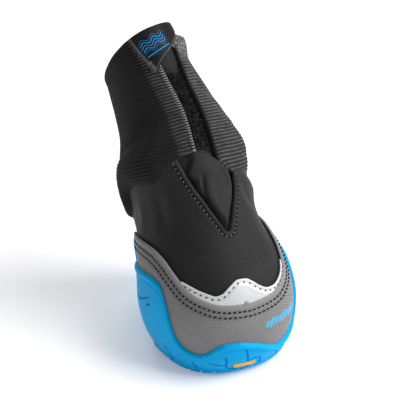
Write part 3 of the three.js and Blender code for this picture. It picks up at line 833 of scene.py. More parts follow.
def wave_motif(f):
    """Share of a woven motif of thin waves over a bar, from its own place in millimetres."""
    x, y = f.value_of("print_x"), f.value_of("print_y")
    swing = f.math("MULTIPLY", f.math("SINE", f.math("MULTIPLY", x, 1.25)), 0.75)
    lift = f.math("SUBTRACT", y, swing)
    lines = f.ramp(f.wave(lift, 1.5), 0.62, 0.74)
    tall = f.within(lift, 2.9, 0.05)
    wide = f.within(x, 5.6, 0.05)
    waves = f.math("MULTIPLY", lines, f.math("MULTIPLY", tall, wide))
    bar_high = f.math("ABSOLUTE", f.math("ADD", y, 4.6))
    bar = f.math("MULTIPLY", f.ramp(bar_high, 0.34, 0.24), wide)
    return f.math("MAXIMUM", waves, bar)


def floor_finish(tone):
    """Matt floor that glows a little."""
    f = Finish("studio_floor")
    f.set(Base_Color=colour(tone), Roughness=0.85, Specular_IOR_Level=0.1)
    f.set(Emission_Color=colour(tone), Emission_Strength=0.2)
    return f.material


# Geometry node trees


class NodeTree(NodeMaker):
    """A geometry node tree with named inputs."""

    def __init__(self, name, inputs):
        self.tree = bpy.data.node_groups.new(name, "GeometryNodeTree")
        face = self.tree.interface
        face.new_socket("Geometry", in_out="INPUT", socket_type="NodeSocketGeometry")
        for key, (kind, value) in inputs.items():
            socket = face.new_socket(key, in_out="INPUT", socket_type="NodeSocket" + kind)
            if value is not None:
                socket.default_value = value
        face.new_socket("Geometry", in_out="OUTPUT", socket_type="NodeSocketGeometry")
        self.given = self.tree.nodes.new("NodeGroupInput").outputs
        self.result = self.tree.nodes.new("NodeGroupOutput").inputs["Geometry"]

    def named(self, name, data_type="FLOAT"):
        kind = "GeometryNodeInputNamedAttribute"
        return self.add(kind, {"data_type": data_type}, Name=name).outputs[0]

    def finish(self, geometry, material):
        real = self.add("GeometryNodeRealizeInstances", Geometry=geometry)
        coated = self.add(
            "GeometryNodeSetMaterial", Geometry=real.outputs[0], Material=material
        )
        self.tree.links.new(coated.outputs[0], self.result)

    def run(self, piece, **values):
        """Runs the tree on a piece, with its inputs set by the sockets' identifiers."""
        modifier = piece.modifiers.new(self.tree.name, "NODES")
        modifier.node_group = self.tree
        for item in self.tree.interface.items_tree:
            key = item.name.replace(" ", "_").lower()
            if item.item_type == "SOCKET" and item.in_out == "INPUT" and key in values:
                modifier[item.identifier] = values[key]
        node_output(piece)


def stitch_tree():
    """Lays stitches of one length along lines, each turned to the cloth under it."""
    tree = NodeTree(
        "stitch_rows",
        {
            "Pitch": ("Float", 0.0023),
            "Stitch Length": ("Float", 0.0015),
            "Thread": ("Float", 0.0005),
            "Thread Material": ("Material", None),
        },
    )
    given = tree.given
    line = tree.add("GeometryNodeMeshToCurve", Mesh=given["Geometry"])
    spots = tree.add(
        "GeometryNodeResampleCurve",
        {"mode": "LENGTH"},
        Curve=line.outputs[0],
        Length=given["Pitch"],
    )
    tangent = tree.add("GeometryNodeInputTangent")
    facing = tree.named("facing", "FLOAT_VECTOR")
    along = tree.add(
        "FunctionNodeAlignRotationToVector", {"axis": "X"}, Vector=tangent.outputs[0]
    )
    turned = tree.add(
        "FunctionNodeAlignRotationToVector",
        {"axis": "Z", "pivot_axis": "X"},
        Rotation=along.outputs[0],
        Vector=facing,
    )
    thread = tree.add("GeometryNodeMeshUVSphere", Segments=8, Rings=5, Radius=0.5)
    size = tree.add(
        "ShaderNodeCombineXYZ",
        X=given["Stitch Length"],
        Y=given["Thread"],
        Z=given["Thread"],
    )
    laid = tree.add(
        "GeometryNodeInstanceOnPoints",
        Points=spots.outputs[0],
        Instance=thread.outputs[0],
        Rotation=turned.outputs[0],
        Scale=size.outputs[0],
    )
    tree.finish(laid.outputs[0], given["Thread Material"])
    return tree


ANY_TURN = 6.28


def pile_tree():
    """Scatters small loops of yarn over a strip."""
    tree = NodeTree(
        "loop_pile",
        {
            "Density": ("Float", 4e6),
            "Loop Size": ("Float", 0.0004),
            "Yarn": ("Float", 0.0001),
            "Seed": ("Int", 4),
            "Yarn Material": ("Material", None),
        },
    )
    given = tree.given
    spots = tree.add(
        "GeometryNodeDistributePointsOnFaces",
        Mesh=given["Geometry"],
        Density=given["Density"],
        Seed=given["Seed"],
    )
    circle, profile = (
        tree.add("GeometryNodeCurvePrimitiveCircle", Resolution=sides, Radius=given[radius])
        for sides, radius in ((6, "Loop Size"), (3, "Yarn"))
    )
    loop = tree.add(
        "GeometryNodeCurveToMesh", Curve=circle.outputs[0], Profile_Curve=profile.outputs[0]
    )
    turn = tree.add("FunctionNodeRandomValue", {"data_type": "FLOAT_VECTOR"}, Seed=given["Seed"])
    for socket, limit in zip(turn.inputs, (0.0, ANY_TURN)):
        tree.feed(socket, (limit, limit, limit))
    laid = tree.add(
        "GeometryNodeInstanceOnPoints",
        Points=spots.outputs[0],
        Instance=loop.outputs[0],
        Rotation=turn.outputs[0],
    )
    tree.finish(laid.outputs[0], given["Yarn Material"])
    return tree


def rib_tree():
    """Raises the ribs of the knit along the value that counts them."""
    tree = NodeTree(
        "knit_ribs",
        {
            "Rib Height": ("Float", 0.0003),
            "Knit Material": ("Material", None),
        },
    )
    given = tree.given
    wave = tree.math("COSINE", tree.math("MULTIPLY", tree.named("rib"), 2 * math.pi))
    height = tree.math("MULTIPLY", wave, given["Rib Height"])
    faded = tree.math("MULTIPLY", height, tree.named("raised"))
    normal = tree.add("GeometryNodeInputNormal")
    push = tree.add("ShaderNodeVectorMath", {"operation": "SCALE"}, Scale=faded)
    tree.feed(push.inputs[0], normal.outputs[0])
    moved = tree.add(
        "GeometryNodeSetPosition", Geometry=given["Geometry"], Offset=push.outputs[0]
    )
    tree.finish(moved.outputs[0], given["Knit Material"])
    return tree


def line_object(name, lines):
    """Lines of points with the way that the cloth under them faces."""
    mesh = bpy.data.meshes.new(name)
    points, facing, edges = [], [], []
    for line_points, line_facing in lines:
        start = len(points)
        points.extend(to_frame(line_points).tolist())
        facing.extend(line_facing.tolist())
        edges.extend((k, k + 1) for k in range(start, len(points) - 1))
    mesh.from_pydata(points, edges, [])
    attribute = mesh.attributes.new("facing", "FLOAT_VECTOR", "POINT")
    attribute.data.foreach_set("vector", np.array(facing, np.float32).ravel())
    piece = bpy.data.objects.new(name, mesh)
    bpy.context.scene.collection.objects.link(piece)
    return piece


# Sizes and colours that a user may change


def length_property(name, description, default):
    return FloatProperty(name=name, description=description, default=default, unit="LENGTH")


class BootSizes(PropertyGroup):
    """Sizes of the details"""

    rib_pitch: length_property("Rib pitch", "Between two ribs of the knit", 0.00142)
    rib_height: length_property("Rib height", "Rise of a rib over the knit", 0.00017)
    throat_pitch: length_property("Throat pitch", "Between stitches of the throat", 0.0023)
    bumper_pitch: length_property("Bumper pitch", "Between stitches of the bumper", 0.00235)
    trim_pitch: length_property("Trim pitch", "Between stitches of the trim", 0.0028)
    strip_pitch: length_property("Strip pitch", "Between stitches of the strip", 0.0015)
    groove_width: length_property("Groove width", "Width of the tread's main grooves", 0.0013)
    groove_depth: length_property("Groove depth", "Depth of the tread's main grooves", 0.0015)
    camera_distance: length_property("Camera distance", "From the boot to the camera", 0.8)


def shade_property(name, description, default):
    return FloatVectorProperty(
        name=name,
        description=description,
        default=default,
        size=3,
        min=0.0,
        max=1.0,
        subtype="COLOR",
    )


class BootShades(PropertyGroup):
    """Colours of the finishes"""

    rubber: shade_property("Rubber", "Blue of the cup sole", srgb(0, 163, 224))
    amber: shade_property("Amber", "Amber of the rubber inlays", srgb(240, 176, 40))
    softshell: shade_property("Softshell", "Black of the upper", srgb(17, 17, 18))
    bumper: shade_property("Bumper", "Grey of the coated mesh", srgb(126, 125, 125))
    trim: shade_property("Trim", "Silver of the reflective film", srgb(206, 207, 208))
    knit: shade_property("Knit", "Charcoal of the ribbed knit", srgb(22, 22, 23))
    # Pale grey of the serged edge and the frayed hem, and of the knit's crests under the painted
    # light.
    knit_light: shade_property("Knit, light", "Worn crests of the knit", srgb(104, 104, 105))
    pile: shade_property("Loop pile", "Black of the loop strip", srgb(18, 18, 19))
    label: shade_property("Label", "Black of the woven label", srgb(9, 9, 10))
    print: shade_property("Print", "Blue of the prints", srgb(20, 134, 200))
    insole: shade_property("Insole", "Grey of the insole", srgb(60, 62, 66))
    floor: shade_property("Floor", "Pale studio floor", srgb(244, 244, 245))


# Sole


def tread_stops():
    """Lines of the tread, as stops with a width share of the main groove."""
    p, middle = TREAD_PITCH, TREAD_MIDDLE_Y
    main, cross, bow, fine, ring = 1.0, 0.8, 0.7, 0.5, 0.45
    lines = [([(-50, middle + k * p), (50, middle + k * p)], main) for k in (-2, -1, 0, 1)]
    for side in (-1, 1):
        slants = [
            [(side * p, -50), (side * p, 31.5)],
            [(side * 2 * p, middle - p), (side * 2 * p, middle + p)],
            [(0, middle - 2 * p), (side * 2 * p, middle)],
            [(0, middle), (side * 2.6 * p, middle - 2.6 * p)],
            [(0, middle), (side * p, middle + p)],
            [(side * p, middle + p), (side * 3 * p, middle - p)],
            [(0, middle - 2 * p), (side * p, middle - 3 * p)],
        ]
        lines += [(slant, main) for slant in slants]
    lines.append(([(0, -50), (0, 12.5)], main))
    lines += [([(-27, y), (27, y)], cross) for y in (12.5, 19.0, 31.5)]
    for start, y in ((12, 23.5), (2, 34.5), (2, 37.5), (2, 40.5), (2, 43.5)):
        lines += [([(side * start, y), (side * 24, y)], fine) for side in (-1, 1)]
    for x, y in ((p, middle - p), (-p, middle - p), (0, middle - p), (0, middle + p)):
        for reach in (2.4, 4.4):
            corners = [(x, y - reach), (x + reach, y), (x, y + reach), (x - reach, y)]
            lines.append((corners + corners[:2], ring))
    for side in (-1, 1):
        arc = [
            (side * (p - 8.5 * math.cos(turn)), 6.0 + 8.0 * math.sin(turn))
            for turn in np.linspace(-1.3, 1.3, 9)
        ]
        lines.append((arc, bow))
    return lines


def groove_prism(stops, width, depth):
    """A cutter of even depth under a line on the underside."""
    stops = np.array(stops, float)
    fine = [stops[0]]
    for start, end in zip(stops[:-1], stops[1:]):
        count = max(1, int(np.ceil(np.linalg.norm(end - start) / 3.0)))
        fine += [start + (end - start) * k / count for k in range(1, count + 1)]
    fine = np.array(fine)
    way = unit(np.gradient(fine, axis=0))
    side = np.stack((-way[:, 1], way[:, 0]), -1) * width / 2
    left, right = fine + side, fine - side
    neck_l, neck_r = fine + side * 0.75, fine - side * 0.75
    below = np.full(len(fine), -3.0)
    corners = [
        (left, below),
        (left, ground(left[:, 1]) + depth * 0.6),
        (neck_l, ground(neck_l[:, 1]) + depth),
        (neck_r, ground(neck_r[:, 1]) + depth),
        (right, ground(right[:, 1]) + depth * 0.6),
        (right, below),
    ]
    rings = np.stack([np.column_stack(corner) for corner in corners], 1)
    size = rings.shape[1]
    faces = []
    for j in range(len(rings) - 1):
        for i in range(size):
            a, b = j * size + i, j * size + (i + 1) % size
            faces.append((a, b, b + size, a + size))
    end = (len(rings) - 1) * size
    faces.append(tuple(reversed(range(size))))
    faces.append(tuple(end + i for i in range(size)))
    return rings.reshape(-1, 3), faces


def sole_grid():
    """Rings of the cup sole from the middle of its underside round to its floor inside."""
    angle = whole_turn(288)
    base = last_point(angle, 0)
    side = outward(angle, 0)
    side[:, 2] = 0
    side = unit(side)
    edge = base + side * (OUTER_FACE - GROUND_INSET)
    middle_y = (LAST[0, 0] + LAST[0, 2]) / 2
    rings = []
    for share in np.linspace(0.02, 1, 26):
        ring = edge.copy()
        ring[:, 0] *= share
        ring[:, 1] = middle_y + (ring[:, 1] - middle_y) * share
        ring[:, 2] = ground(ring[:, 1])
        rings.append(ring)
    wall_foot = on_last(angle, 0, OUTER_FACE)
    corner = wall_foot.copy()
    corner[:, :2] = (base + side * (OUTER_FACE + 0.1))[:, :2]
    corner[:, 2] = ground(edge[:, 1]) + 0.2
    for t in np.linspace(0.14, 1, 7):
        a, b = (1 - t) ** 2, t**2
        rings.append(edge * a + corner * (1 - a - b) + wall_foot * b)
    top = sole_edge(angle)
    for share in np.linspace(0.02, 1, 46):
        out = OUTER_FACE + sole_relief(angle, top * share, share)
        rings.append(on_last(angle, top * share, out))
    lip_out = OUTER_FACE + 0.15
    for t in (0.25, 0.5, 0.75):
        out = lip_out + (SEAT - lip_out) * t
        extra = rows_for(0.7 * math.sin(math.pi * t), angle, top)
        rings.append(on_last(angle, top + extra, out))
    for share in np.linspace(1, 0, 12):
        rings.append(on_last(angle, top * share, SEAT))
    rings[-1][:, 2] -= GAP
    floor = rings[-1]
    for share in (0.7, 0.4, 0.02):
        ring = floor.copy()
        ring[:, 0] *= share
        ring[:, 1] = middle_y + (ring[:, 1] - middle_y) * share
        rings.append(ring)
    return np.array(rings)


def sole_relief(angle, row, share):
    """Bead along the top edge of the rubber, with a shallow channel under it."""
    height = np.linalg.norm(last_point(angle, row / share) - last_point(angle, row), axis=-1)
    bead = 0.6 * (1 - smooth(height, 1.5, 2.3)) * (0.35 + 0.65 * smooth(height, 0, 0.6))
    return bead - 0.2 * dent(height, 2.6, 0.5)


def ring_stack_mesh(rings):
    """Faces of a stack of rings that is closed by its first and last ring."""
    count, size = rings.shape[:2]
    index = np.arange(count * size).reshape(count, size)
    faces = quads(np.hstack((index, index[:, :1]))).tolist()
    faces.append(list(reversed(index[0].tolist())))
    faces.append(index[-1].tolist())
    return rings.reshape(-1, 3), faces


def plain_object(name, points, faces):
    """An object from points in millimetres, without a finish."""
    mesh = bpy.data.meshes.new(name)
    mesh.from_pydata(to_frame(np.asarray(points)).tolist(), [], faces)
    piece = bpy.data.objects.new(name, mesh)
    bpy.context.scene.collection.objects.link(piece)
    return piece


def badge_disc(width, length, low, high, sides=48):
    """An oval disc between two heights, where the badge of the sole is."""
    turn = np.linspace(0, 2 * math.pi, sides + 1)[:-1]
    y = SOLE_BADGE_Y + length / 2 * np.sin(turn)
    flat = np.column_stack((width / 2 * np.cos(turn), y))
    rings = np.stack([np.column_stack((flat, np.full(sides, z))) for z in (low, high)])
    return ring_stack_mesh(rings)


def cut(piece, cutters, operation="DIFFERENCE"):
    """Cuts solids out of a piece, or joins them to it, and removes them."""
    for cutter in cutters:
        modifier = piece.modifiers.new("cut", "BOOLEAN")
        modifier.operation = operation
        modifier.solver = "MANIFOLD"
        modifier.object = cutter
    node_output(piece)
    for cutter in cutters:
        bpy.data.objects.remove(cutter)


def toe_patch_cutter(name, margin, proud, depth):
    """A block over the place of the toe badge, to cut its pocket."""
    low, high = TOE_BADGE_ROWS
    reach = TOE_BADGE_HALF_ANGLE + margin * DEGREES_PER_MM
    spare = rows_for(margin, TOE_BADGE_ANGLE, low)
    angle, row = grid_between(
        TOE_BADGE_ANGLE - reach,
        TOE_BADGE_ANGLE + reach,
        low - spare,
        high + spare,
        columns=9,
        rows=3,
    )
    outer = on_last(angle, row, OUTER_FACE + proud)
    inner = on_last(angle, row, OUTER_FACE - depth)
    points, faces, _ = wall_mesh(outer, inner, False, rim_steps=1)
    return plain_object(name, points, faces.tolist())


# Grooves in the outside wall of the rubber: stops of angle and row, width, depth
WALL_GROOVES = [
    ([(-33, 0.66), (-26, 0.55), (-20, 0.47)], 0.95, 0.8),
    ([(-20, 1.08), (-20, 0.47), (-18, 0.1), (-10, -0.02), (-2, 0.0)], 0.95, 0.85),
    ([(-5.5, 1.3), (-4.5, 1.0), (-3.8, 0.68)], 0.95, 0.8),
    ([(-3.8, 0.7), (1.5, 0.78), (5.0, 0.7), (6.5, 0.12)], 0.95, 0.8),
    ([(-7.5, 0.02), (-8.0, -0.4)], 1.0, 0.9),
    ([(22, 0.5), (26, 0.2), (27, -0.3)], 1.0, 0.8),
    ([(-47, 0.5), (-45, 0.1), (-44, -0.3)], 1.0, 0.8),
    ([(-96, 2.15), (-91.5, 2.3), (-85, 2.55), (-80, 2.72)], 1.0, 0.9),
    ([(-83, 2.35), (-80, 2.45)], 0.95, 0.8),
    ([(-70, 0.9), (-68, 0.3), (-68, -0.3)], 1.1, 0.9),
    ([(-88, 0.7), (-88, -0.3)], 1.1, 0.9),
    ([(80, 2.72), (85, 2.55), (91.5, 2.3), (96, 2.15)], 1.0, 0.9),
    ([(68, -0.3), (68, 0.3), (70, 0.9)], 1.1, 0.9),
    ([(88, -0.3), (88, 0.7)], 1.1, 0.9),
]


def wall_groove(name, stops, width, depth):
    """A cutter along a line on the outside wall of the rubber."""
    angle, row, _ = path_on_last(stops, steps=5)
    facing = outward(angle, row)
    base = last_point(angle, row) + facing * OUTER_FACE
    way = unit(np.gradient(base, axis=0))
    base[0] -= way[0] * 0.3
    base[-1] += way[-1] * 0.3
    side = unit(np.cross(facing, way)) * width / 2
    rings = np.stack(
        (
            base + side * 1.3 + facing * 1.6,
            base + side - facing * depth * 0.3,
            base + side * 0.5 - facing * depth,
            base - side * 0.5 - facing * depth,
            base - side - facing * depth * 0.3,
            base - side * 1.3 + facing * 1.6,
        ),
        1,
    )
    return plain_object(name, *ring_stack_mesh(rings[::-1]))


class DOGBOOT_OT_outsole(Operator):
    """Make the rubber cup sole with its tread"""

    bl_idname = "dogboot.outsole"
    bl_label = "Outsole"

    def execute(self, context):
        sizes, shades = context.scene.boot_sizes, context.scene.boot_shades
        points, faces = ring_stack_mesh(sole_grid())
        piece = plain_object("cup_sole", points, faces)
        cutters = []
        for k, (stops, share) in enumerate(tread_stops()):
            width = sizes.groove_width / MM * share
            depth = sizes.groove_depth / MM * (1 if share > 0.9 else share)
            prism, sides = groove_prism(stops, width, depth)
            cutters.append(plain_object(f"groove_{k}", prism, sides))
        for k, (stops, width, depth) in enumerate(WALL_GROOVES):
            cutters.append(wall_groove(f"wall_groove_{k}", stops, width, depth))
        cut(piece, cutters)
        rim = plain_object("badge_rim", *badge_disc(15.0, 8.8, 0.0, 2.5))
        cut(piece, [rim], "UNION")
        pocket = plain_object("pocket", *badge_disc(13.3, 7.1, -1.0, 2.15))
        cut(piece, [pocket, toe_patch_cutter("toe_pocket", GAP, 0.6, 1.45)])
        coat(piece, rubber_finish(shades), 32)
        place(piece, ["outsole"])
        return {"FINISHED"}


class DOGBOOT_OT_inlays(Operator):
    """Make the two amber inlays of the sole"""

    bl_idname = "dogboot.inlays"
    bl_label = "Amber inlays"

    def execute(self, context):
        finish = amber_finish(context.scene.boot_shades)
        sole = plain_object("sole_badge", *badge_disc(12.6, 6.4, 0.4, 1.8))
        angle, row = grid_between(
            TOE_BADGE_ANGLE - TOE_BADGE_HALF_ANGLE,
            TOE_BADGE_ANGLE + TOE_BADGE_HALF_ANGLE,
            *TOE_BADGE_ROWS,
            columns=25,
            rows=9,
        )
        outer, inner = OUTER_FACE + 0.1, OUTER_FACE - 1.1
        toe = wall_piece("toe_badge", angle, row, outer, inner, finish, bulge=0.0)
        for piece, node in ((sole, "sole_inlay"), (toe, "toe_inlay")):
            bevel = piece.modifiers.new("edge", "BEVEL")
            bevel.width = 0.25 * MM
            bevel.segments = 2
            bevel.limit_method = "ANGLE"
            node_output(piece)
            coat(piece, finish, 40)
            place(piece, [node])
        return {"FINISHED"}


INSOLE_RIM = ((0.02, 0.0), (0.6, 0.0), (0.97, 0.0), (1.0, 0.5), (0.995, 1.4))
INSOLE_THICKNESS = 2.0
INSOLE_DISH = 0.5


class DOGBOOT_OT_insole(Operator):
    """Make the soft insole inside the boot"""

    bl_idname = "dogboot.insole"
    bl_label = "Insole"

    def execute(self, context):
        rim = on_last(whole_turn(144), 0, -UPPER_WALL - 2 * GAP)
        middle = rim.mean(0)
        rings = []
        for share, rise in INSOLE_RIM:
            ring = middle + (rim - middle) * share
            ring[:, 2] = rim[:, 2] + rise
            rings.append(ring)
        for share in np.linspace(0.97, 0.02, 16):
            ring = middle + (rim - middle) * share
            ring[:, 2] = rim[:, 2] * share + middle[2] * (1 - share)
            ring[:, 2] += INSOLE_THICKNESS - INSOLE_DISH * (1 - share)
            rings.append(ring)
        points, faces = ring_stack_mesh(np.array(rings))
        finish = plain_cloth_finish("brushed_lining", context.scene.boot_shades.insole)
        piece = mesh_object("soft_insole", points, split_ends(faces), finish)
        place(piece, ["insole"])
        return {"FINISHED"}


def split_ends(faces):
    """Splits the two end faces into triangles and leaves the rest as it is."""
    kept = [tuple(face) for face in faces if len(face) == 4]
    for face in faces:
        if len(face) != 4:
            kept += [(face[0], face[k], face[k + 1]) for k in range(1, len(face) - 1)]
    return kept


# Upper, bumper and trim


def upper_edge(angle):
    """Top of the upper: the collar line, cut down to the tip of the throat in front."""
    turned = wrapped(angle)
    inside = (turned > THROAT_CORNERS[0][0]) & (turned < THROAT_CORNERS[1][0])
    return np.where(inside, throat_edge(turned), collar_edge(angle))


def line_beside(angle, row, aside, out, start=0.0):
    """A line at a distance to the left of a line on the last, with its outward directions."""
    base, facing = last_point(angle, row), outward(angle, row)
    left = unit(np.cross(facing, np.gradient(base, axis=0)))
    points = base + left * aside + facing * out
    lengths = np.linalg.norm(np.diff(points, axis=0), axis=1)
    kept = np.concatenate(([0], np.cumsum(lengths))) >= start
    return points[kept], facing[kept]


THREAD_GRAIN = 3000.0


def sew(name, lines, pitch, stitch, finish):
    """Rows of stitches along lines of points."""
    rows = line_object(name, lines)
    length, thickness = stitch
    stitch_tree().run(
        rows,
        pitch=pitch,
        stitch_length=length * MM,
        thread=thickness * MM,
        thread_material=finish,
    )
    place(rows)


def thread_finish(name, tone, rough):
    """Twisted sewing thread, also the pale grey of painted glints on black thread."""
    return plain_cloth_finish(name, tone, THREAD_GRAIN, rough)


# Folds: stops of angle and row, width, height
VAMP_FOLDS = [
    ([(-52, 7.2), (-58, 6.5), (-60, 5.6)], 3.2, -0.8),
    ([(-38, 7.5), (-40, 6.6), (-36, 5.8)], 4.0, 0.7),
    ([(-80, 7.0), (-86, 6.0), (-92, 5.0)], 4.0, 0.9),
    ([(34, 7.0), (40, 6.4), (52, 5.8)], 3.0, -0.8),
    ([(50, 6.95), (58, 6.6), (68, 6.1), (78, 5.6)], 4.6, 1.8),
    ([(78, 6.8), (90, 6.2), (100, 5.4)], 4.0, 0.7),
    ([(-30, 4.3), (-10, 4.6), (12, 4.5), (30, 4.2)], 6.0, -0.3),
    ([(140, 4.3), (165, 4.0), (195, 4.0), (220, 4.3)], 3.0, -0.6),
]
THROAT_SEAM = 1.7
THROAT_SPAN = (-34, 34)
THROAT_DENSITY = 1.6


def dense_round(count, fine_from, fine_to, gain):
    """Angles once round, closer together between two of them."""
    at = np.linspace(-180, 180, 721)
    weight = 1 + gain * smooth(at, fine_from - 6, fine_from) * smooth(-at, -fine_to - 6, -fine_to)
    total = np.concatenate(([0], np.cumsum((weight[1:] + weight[:-1]) / 2)))
    return np.interp(np.linspace(0, total[-1], count + 1), total, at)[:-1]


class DOGBOOT_OT_upper(Operator):
    """Make the hollow softshell upper and the stitches round its throat"""

    bl_idname = "dogboot.upper"
    bl_label = "Upper"

    def execute(self, context):
        sizes, shades = context.scene.boot_sizes, context.scene.boot_shades
        angle = dense_round(330, *THROAT_SPAN, THROAT_DENSITY)
        share = np.linspace(0, 1, 92)[:, None] ** 0.9
        row = upper_edge(angle) * share
        angle = np.broadcast_to(angle, row.shape).copy()
        base = last_point(angle, row)
        around = dense_round(420, *THROAT_SPAN, THROAT_DENSITY)
        away = distance_to(base, last_point(around, upper_edge(around)))
        front = smooth(42 - np.abs(angle), 0, 8)
        out = (0.3 + 0.15 * front) * dent(away, 0.35, 0.45)
        out -= 0.35 * dent(away, THROAT_SEAM, 0.5) * front
        for stops, width, height in VAMP_FOLDS:
            out += fold(base, stops, width, height) * smooth(away, 1.0, 4.0)
        piece = wall_piece(
            "softshell_upper",
            angle,
            row,
            out,
            -UPPER_WALL,
            softshell_finish(shades),
            ring=True,
        )
        place(piece, ["upper"])

        edge = np.linspace(THROAT_CORNERS[0][0] - 1.5, THROAT_CORNERS[1][0] + 1.5, 420)
        # The throat's thread is black: the grey dashes between its dark stitches are painted
        # glints.
        light = thread_finish("grey_thread", srgb(132, 132, 133), 0.7)
        dark = thread_finish("black_thread", srgb(9, 9, 10), 0.8)
        line_row = np.where(np.abs(edge) < 27, throat_edge(edge), collar_edge(edge))
        line = [line_beside(edge, line_row, -THROAT_SEAM, -0.06)]
        sew("throat_stitches", line, sizes.throat_pitch, THROAT_GLINT, light)
        holes = [line_beside(edge, line_row, -THROAT_SEAM, -0.24, start=1.1)]
        sew("throat_holes", holes, sizes.throat_pitch, THROAT_HOLE, dark)
        return {"FINISHED"}


TONGUE_DOME = 2.9
GUSSET_FOLDS = [
    ([(-7.5, 7.35), (-10, 6.95), (-10.5, 6.6), (-9, 6.25)], 0.9, -0.9),
    ([(-13, 7.4), (-14.5, 7.0), (-12, 6.6)], 2.2, 0.4),
    ([(-3, 7.4), (-5, 6.9), (-5, 6.4)], 2.6, 0.5),
    ([(9.5, 7.5), (12, 7.2), (13, 6.8)], 1.4, -0.7),
]


class DOGBOOT_OT_tongue(Operator):
    """Make the gusset tongue that fills the throat"""

    bl_idname = "dogboot.tongue"
    bl_label = "Gusset tongue"

    def execute(self, context):
        angle, row = grid_between(
            -TONGUE_REACH,
            TONGUE_REACH,
            lambda a: TONGUE_TIP_ROW + TONGUE_TIP_SWEEP * (np.abs(a) / TONGUE_REACH) ** 2,
            TONGUE_TOP_ROW,
            columns=120,
            rows=130,
        )
        aside = np.minimum(angle - throat_left(row), throat_right(row) - angle)
        open_above = smooth(row, 7.2, 7.5)
        inside = smooth(aside + 10 * open_above, 1, 9)
        dome = collar_edge(angle) + 0.02 - row
        inside *= smooth(dome, 0.0, 0.09) * (0.7 + 0.3 * smooth(dome, 0.0, 0.6))
        base = last_point(angle, row)
        out = -GAITER_WALL - GAP + TONGUE_DOME * inside
        for stops, width, height in GUSSET_FOLDS:
            out += fold(base, stops, width, height) * inside
        piece = wall_piece(
            "gusset_tongue",
            angle,
            row,
            out,
            out - TONGUE_WALL,
            bpy.data.materials["softshell_cloth"],
        )
        place(piece, ["tongue"])
        return {"FINISHED"}


PRINT_ANGLE = 26.0
PRINT_ROW = 2.0
BUMPER_ROWS_MM = (2.9, 5.3)
BUMPER_SEAM_END = 119
POINT_ANGLE = -2
POINT_HALF_WIDTH = 1.6
POINT_RISE = 0.09


def bumper_top(angle):
    """Edge of the bumper with the small point in front."""
    point = np.maximum(0, 1 - np.abs(angle - POINT_ANGLE) / POINT_HALF_WIDTH)
    return bumper_edge(angle) + POINT_RISE * point


class DOGBOOT_OT_bumper(Operator):
    """Make the coated toe bumper and its two stitch rows"""

    bl_idname = "dogboot.bumper"
    bl_label = "Toe bumper"

    def execute(self, context):
        sizes, shades = context.scene.boot_sizes, context.scene.boot_shades
        angle, row = grid_between(
            -BUMPER_END_ANGLE,
            BUMPER_END_ANGLE,
            past(sole_edge),
            bumper_top,
            columns=320,
            rows=76,
        )
        base = last_point(angle, row)
        away = from_edge(base, bumper_edge, -BUMPER_END_ANGLE, BUMPER_END_ANGLE, 240)
        share = np.linspace(0, 1, len(row))[:, None]
        out = SEAT + BUMPER_WALL + BUMPER_CROWN * np.sin(math.pi * share) + 0 * angle
        out += 0.3 * dent(away, 0.6, 0.6)
        for depth in BUMPER_ROWS_MM:
            out -= 0.3 * dent(away, depth, 0.5)
        s, t = cloth_map(base)
        level = np.array([np.interp(PRINT_ROW, row[:, k], t[:, k]) for k in range(len(s))])
        piece = wall_piece(
            "mesh_bumper",
            angle,
            row,
            out,
            SEAT,
            bumper_finish(shades),
            values={
                "plain": smooth(2.2 - away, 0, 1.2),
                "print_x": s - np.interp(PRINT_ANGLE, angle[0], s) + 0 * angle,
                "print_y": t - level,
            },
        )
        place(piece, ["toe_bumper"])

        black = bpy.data.materials["black_thread"]
        # The bumper's thread is black: the pale dashes between its dark stitches are painted
        # glints.
        pale = thread_finish("pale_thread", srgb(120, 120, 120), 0.7)
        edge = np.linspace(-BUMPER_SEAM_END, BUMPER_SEAM_END, 700)
        crown = SEAT + BUMPER_WALL + BUMPER_CROWN * math.sin(math.pi * 0.12) - 0.12
        dark_rows, glint_rows = [], []
        for depth in BUMPER_ROWS_MM:
            dark_rows.append(line_beside(edge, bumper_edge(edge), -depth, crown))
            glint_rows.append(line_beside(edge, bumper_edge(edge), -depth, crown - 0.02, 1.17))
        sew("bumper_stitches", dark_rows, sizes.bumper_pitch, BUMPER_STITCH, black)
        sew("bumper_thread", glint_rows, sizes.bumper_pitch, BUMPER_GLINT, pale)
        return {"FINISHED"}


TRIM_SEAM = 1.3


class DOGBOOT_OT_trim(Operator):
    """Make the silver reflective trim over the bumper"""

    bl_idname = "dogboot.trim"
    bl_label = "Reflective trim"

    def execute(self, context):
        sizes, shades = context.scene.boot_sizes, context.scene.boot_shades
        angle, row = grid_between(
            TRIM_START_ANGLE,
            TRIM_END_ANGLE,
            past(bumper_edge),
            trim_edge,
            columns=170,
            rows=20,
        )
        base = last_point(angle, row)
        away = from_edge(base, trim_edge, TRIM_START_ANGLE, TRIM_END_ANGLE, 200)
        out = SEAT + TRIM_WALL - 0.25 * dent(away, TRIM_SEAM, 0.5)
        out = out + 0.12 * dent(away, 2.6, 0.9)
        piece = wall_piece("silver_trim", angle, row, out, SEAT, trim_finish(shades))
        place(piece, ["reflective_trim"])
        edge = np.linspace(TRIM_START_ANGLE + 4, TRIM_END_ANGLE - 4, 260)
        line = [line_beside(edge, trim_edge(edge), -TRIM_SEAM, SEAT + TRIM_WALL - 0.22)]
        dull = thread_finish("dull_thread", srgb(58, 58, 60), 0.8)
        sew("trim_stitches", line, sizes.trim_pitch, TRIM_STITCH, dull)
        return {"FINISHED"}


# Gaiter, strip and label


def part_round(angle, start, full, fade, end):
    """How much of a form there is at an angle, between those where it starts and ends."""
    return smooth(wrapped(angle), start, full) * (1 - smooth(wrapped(angle), fade, end))


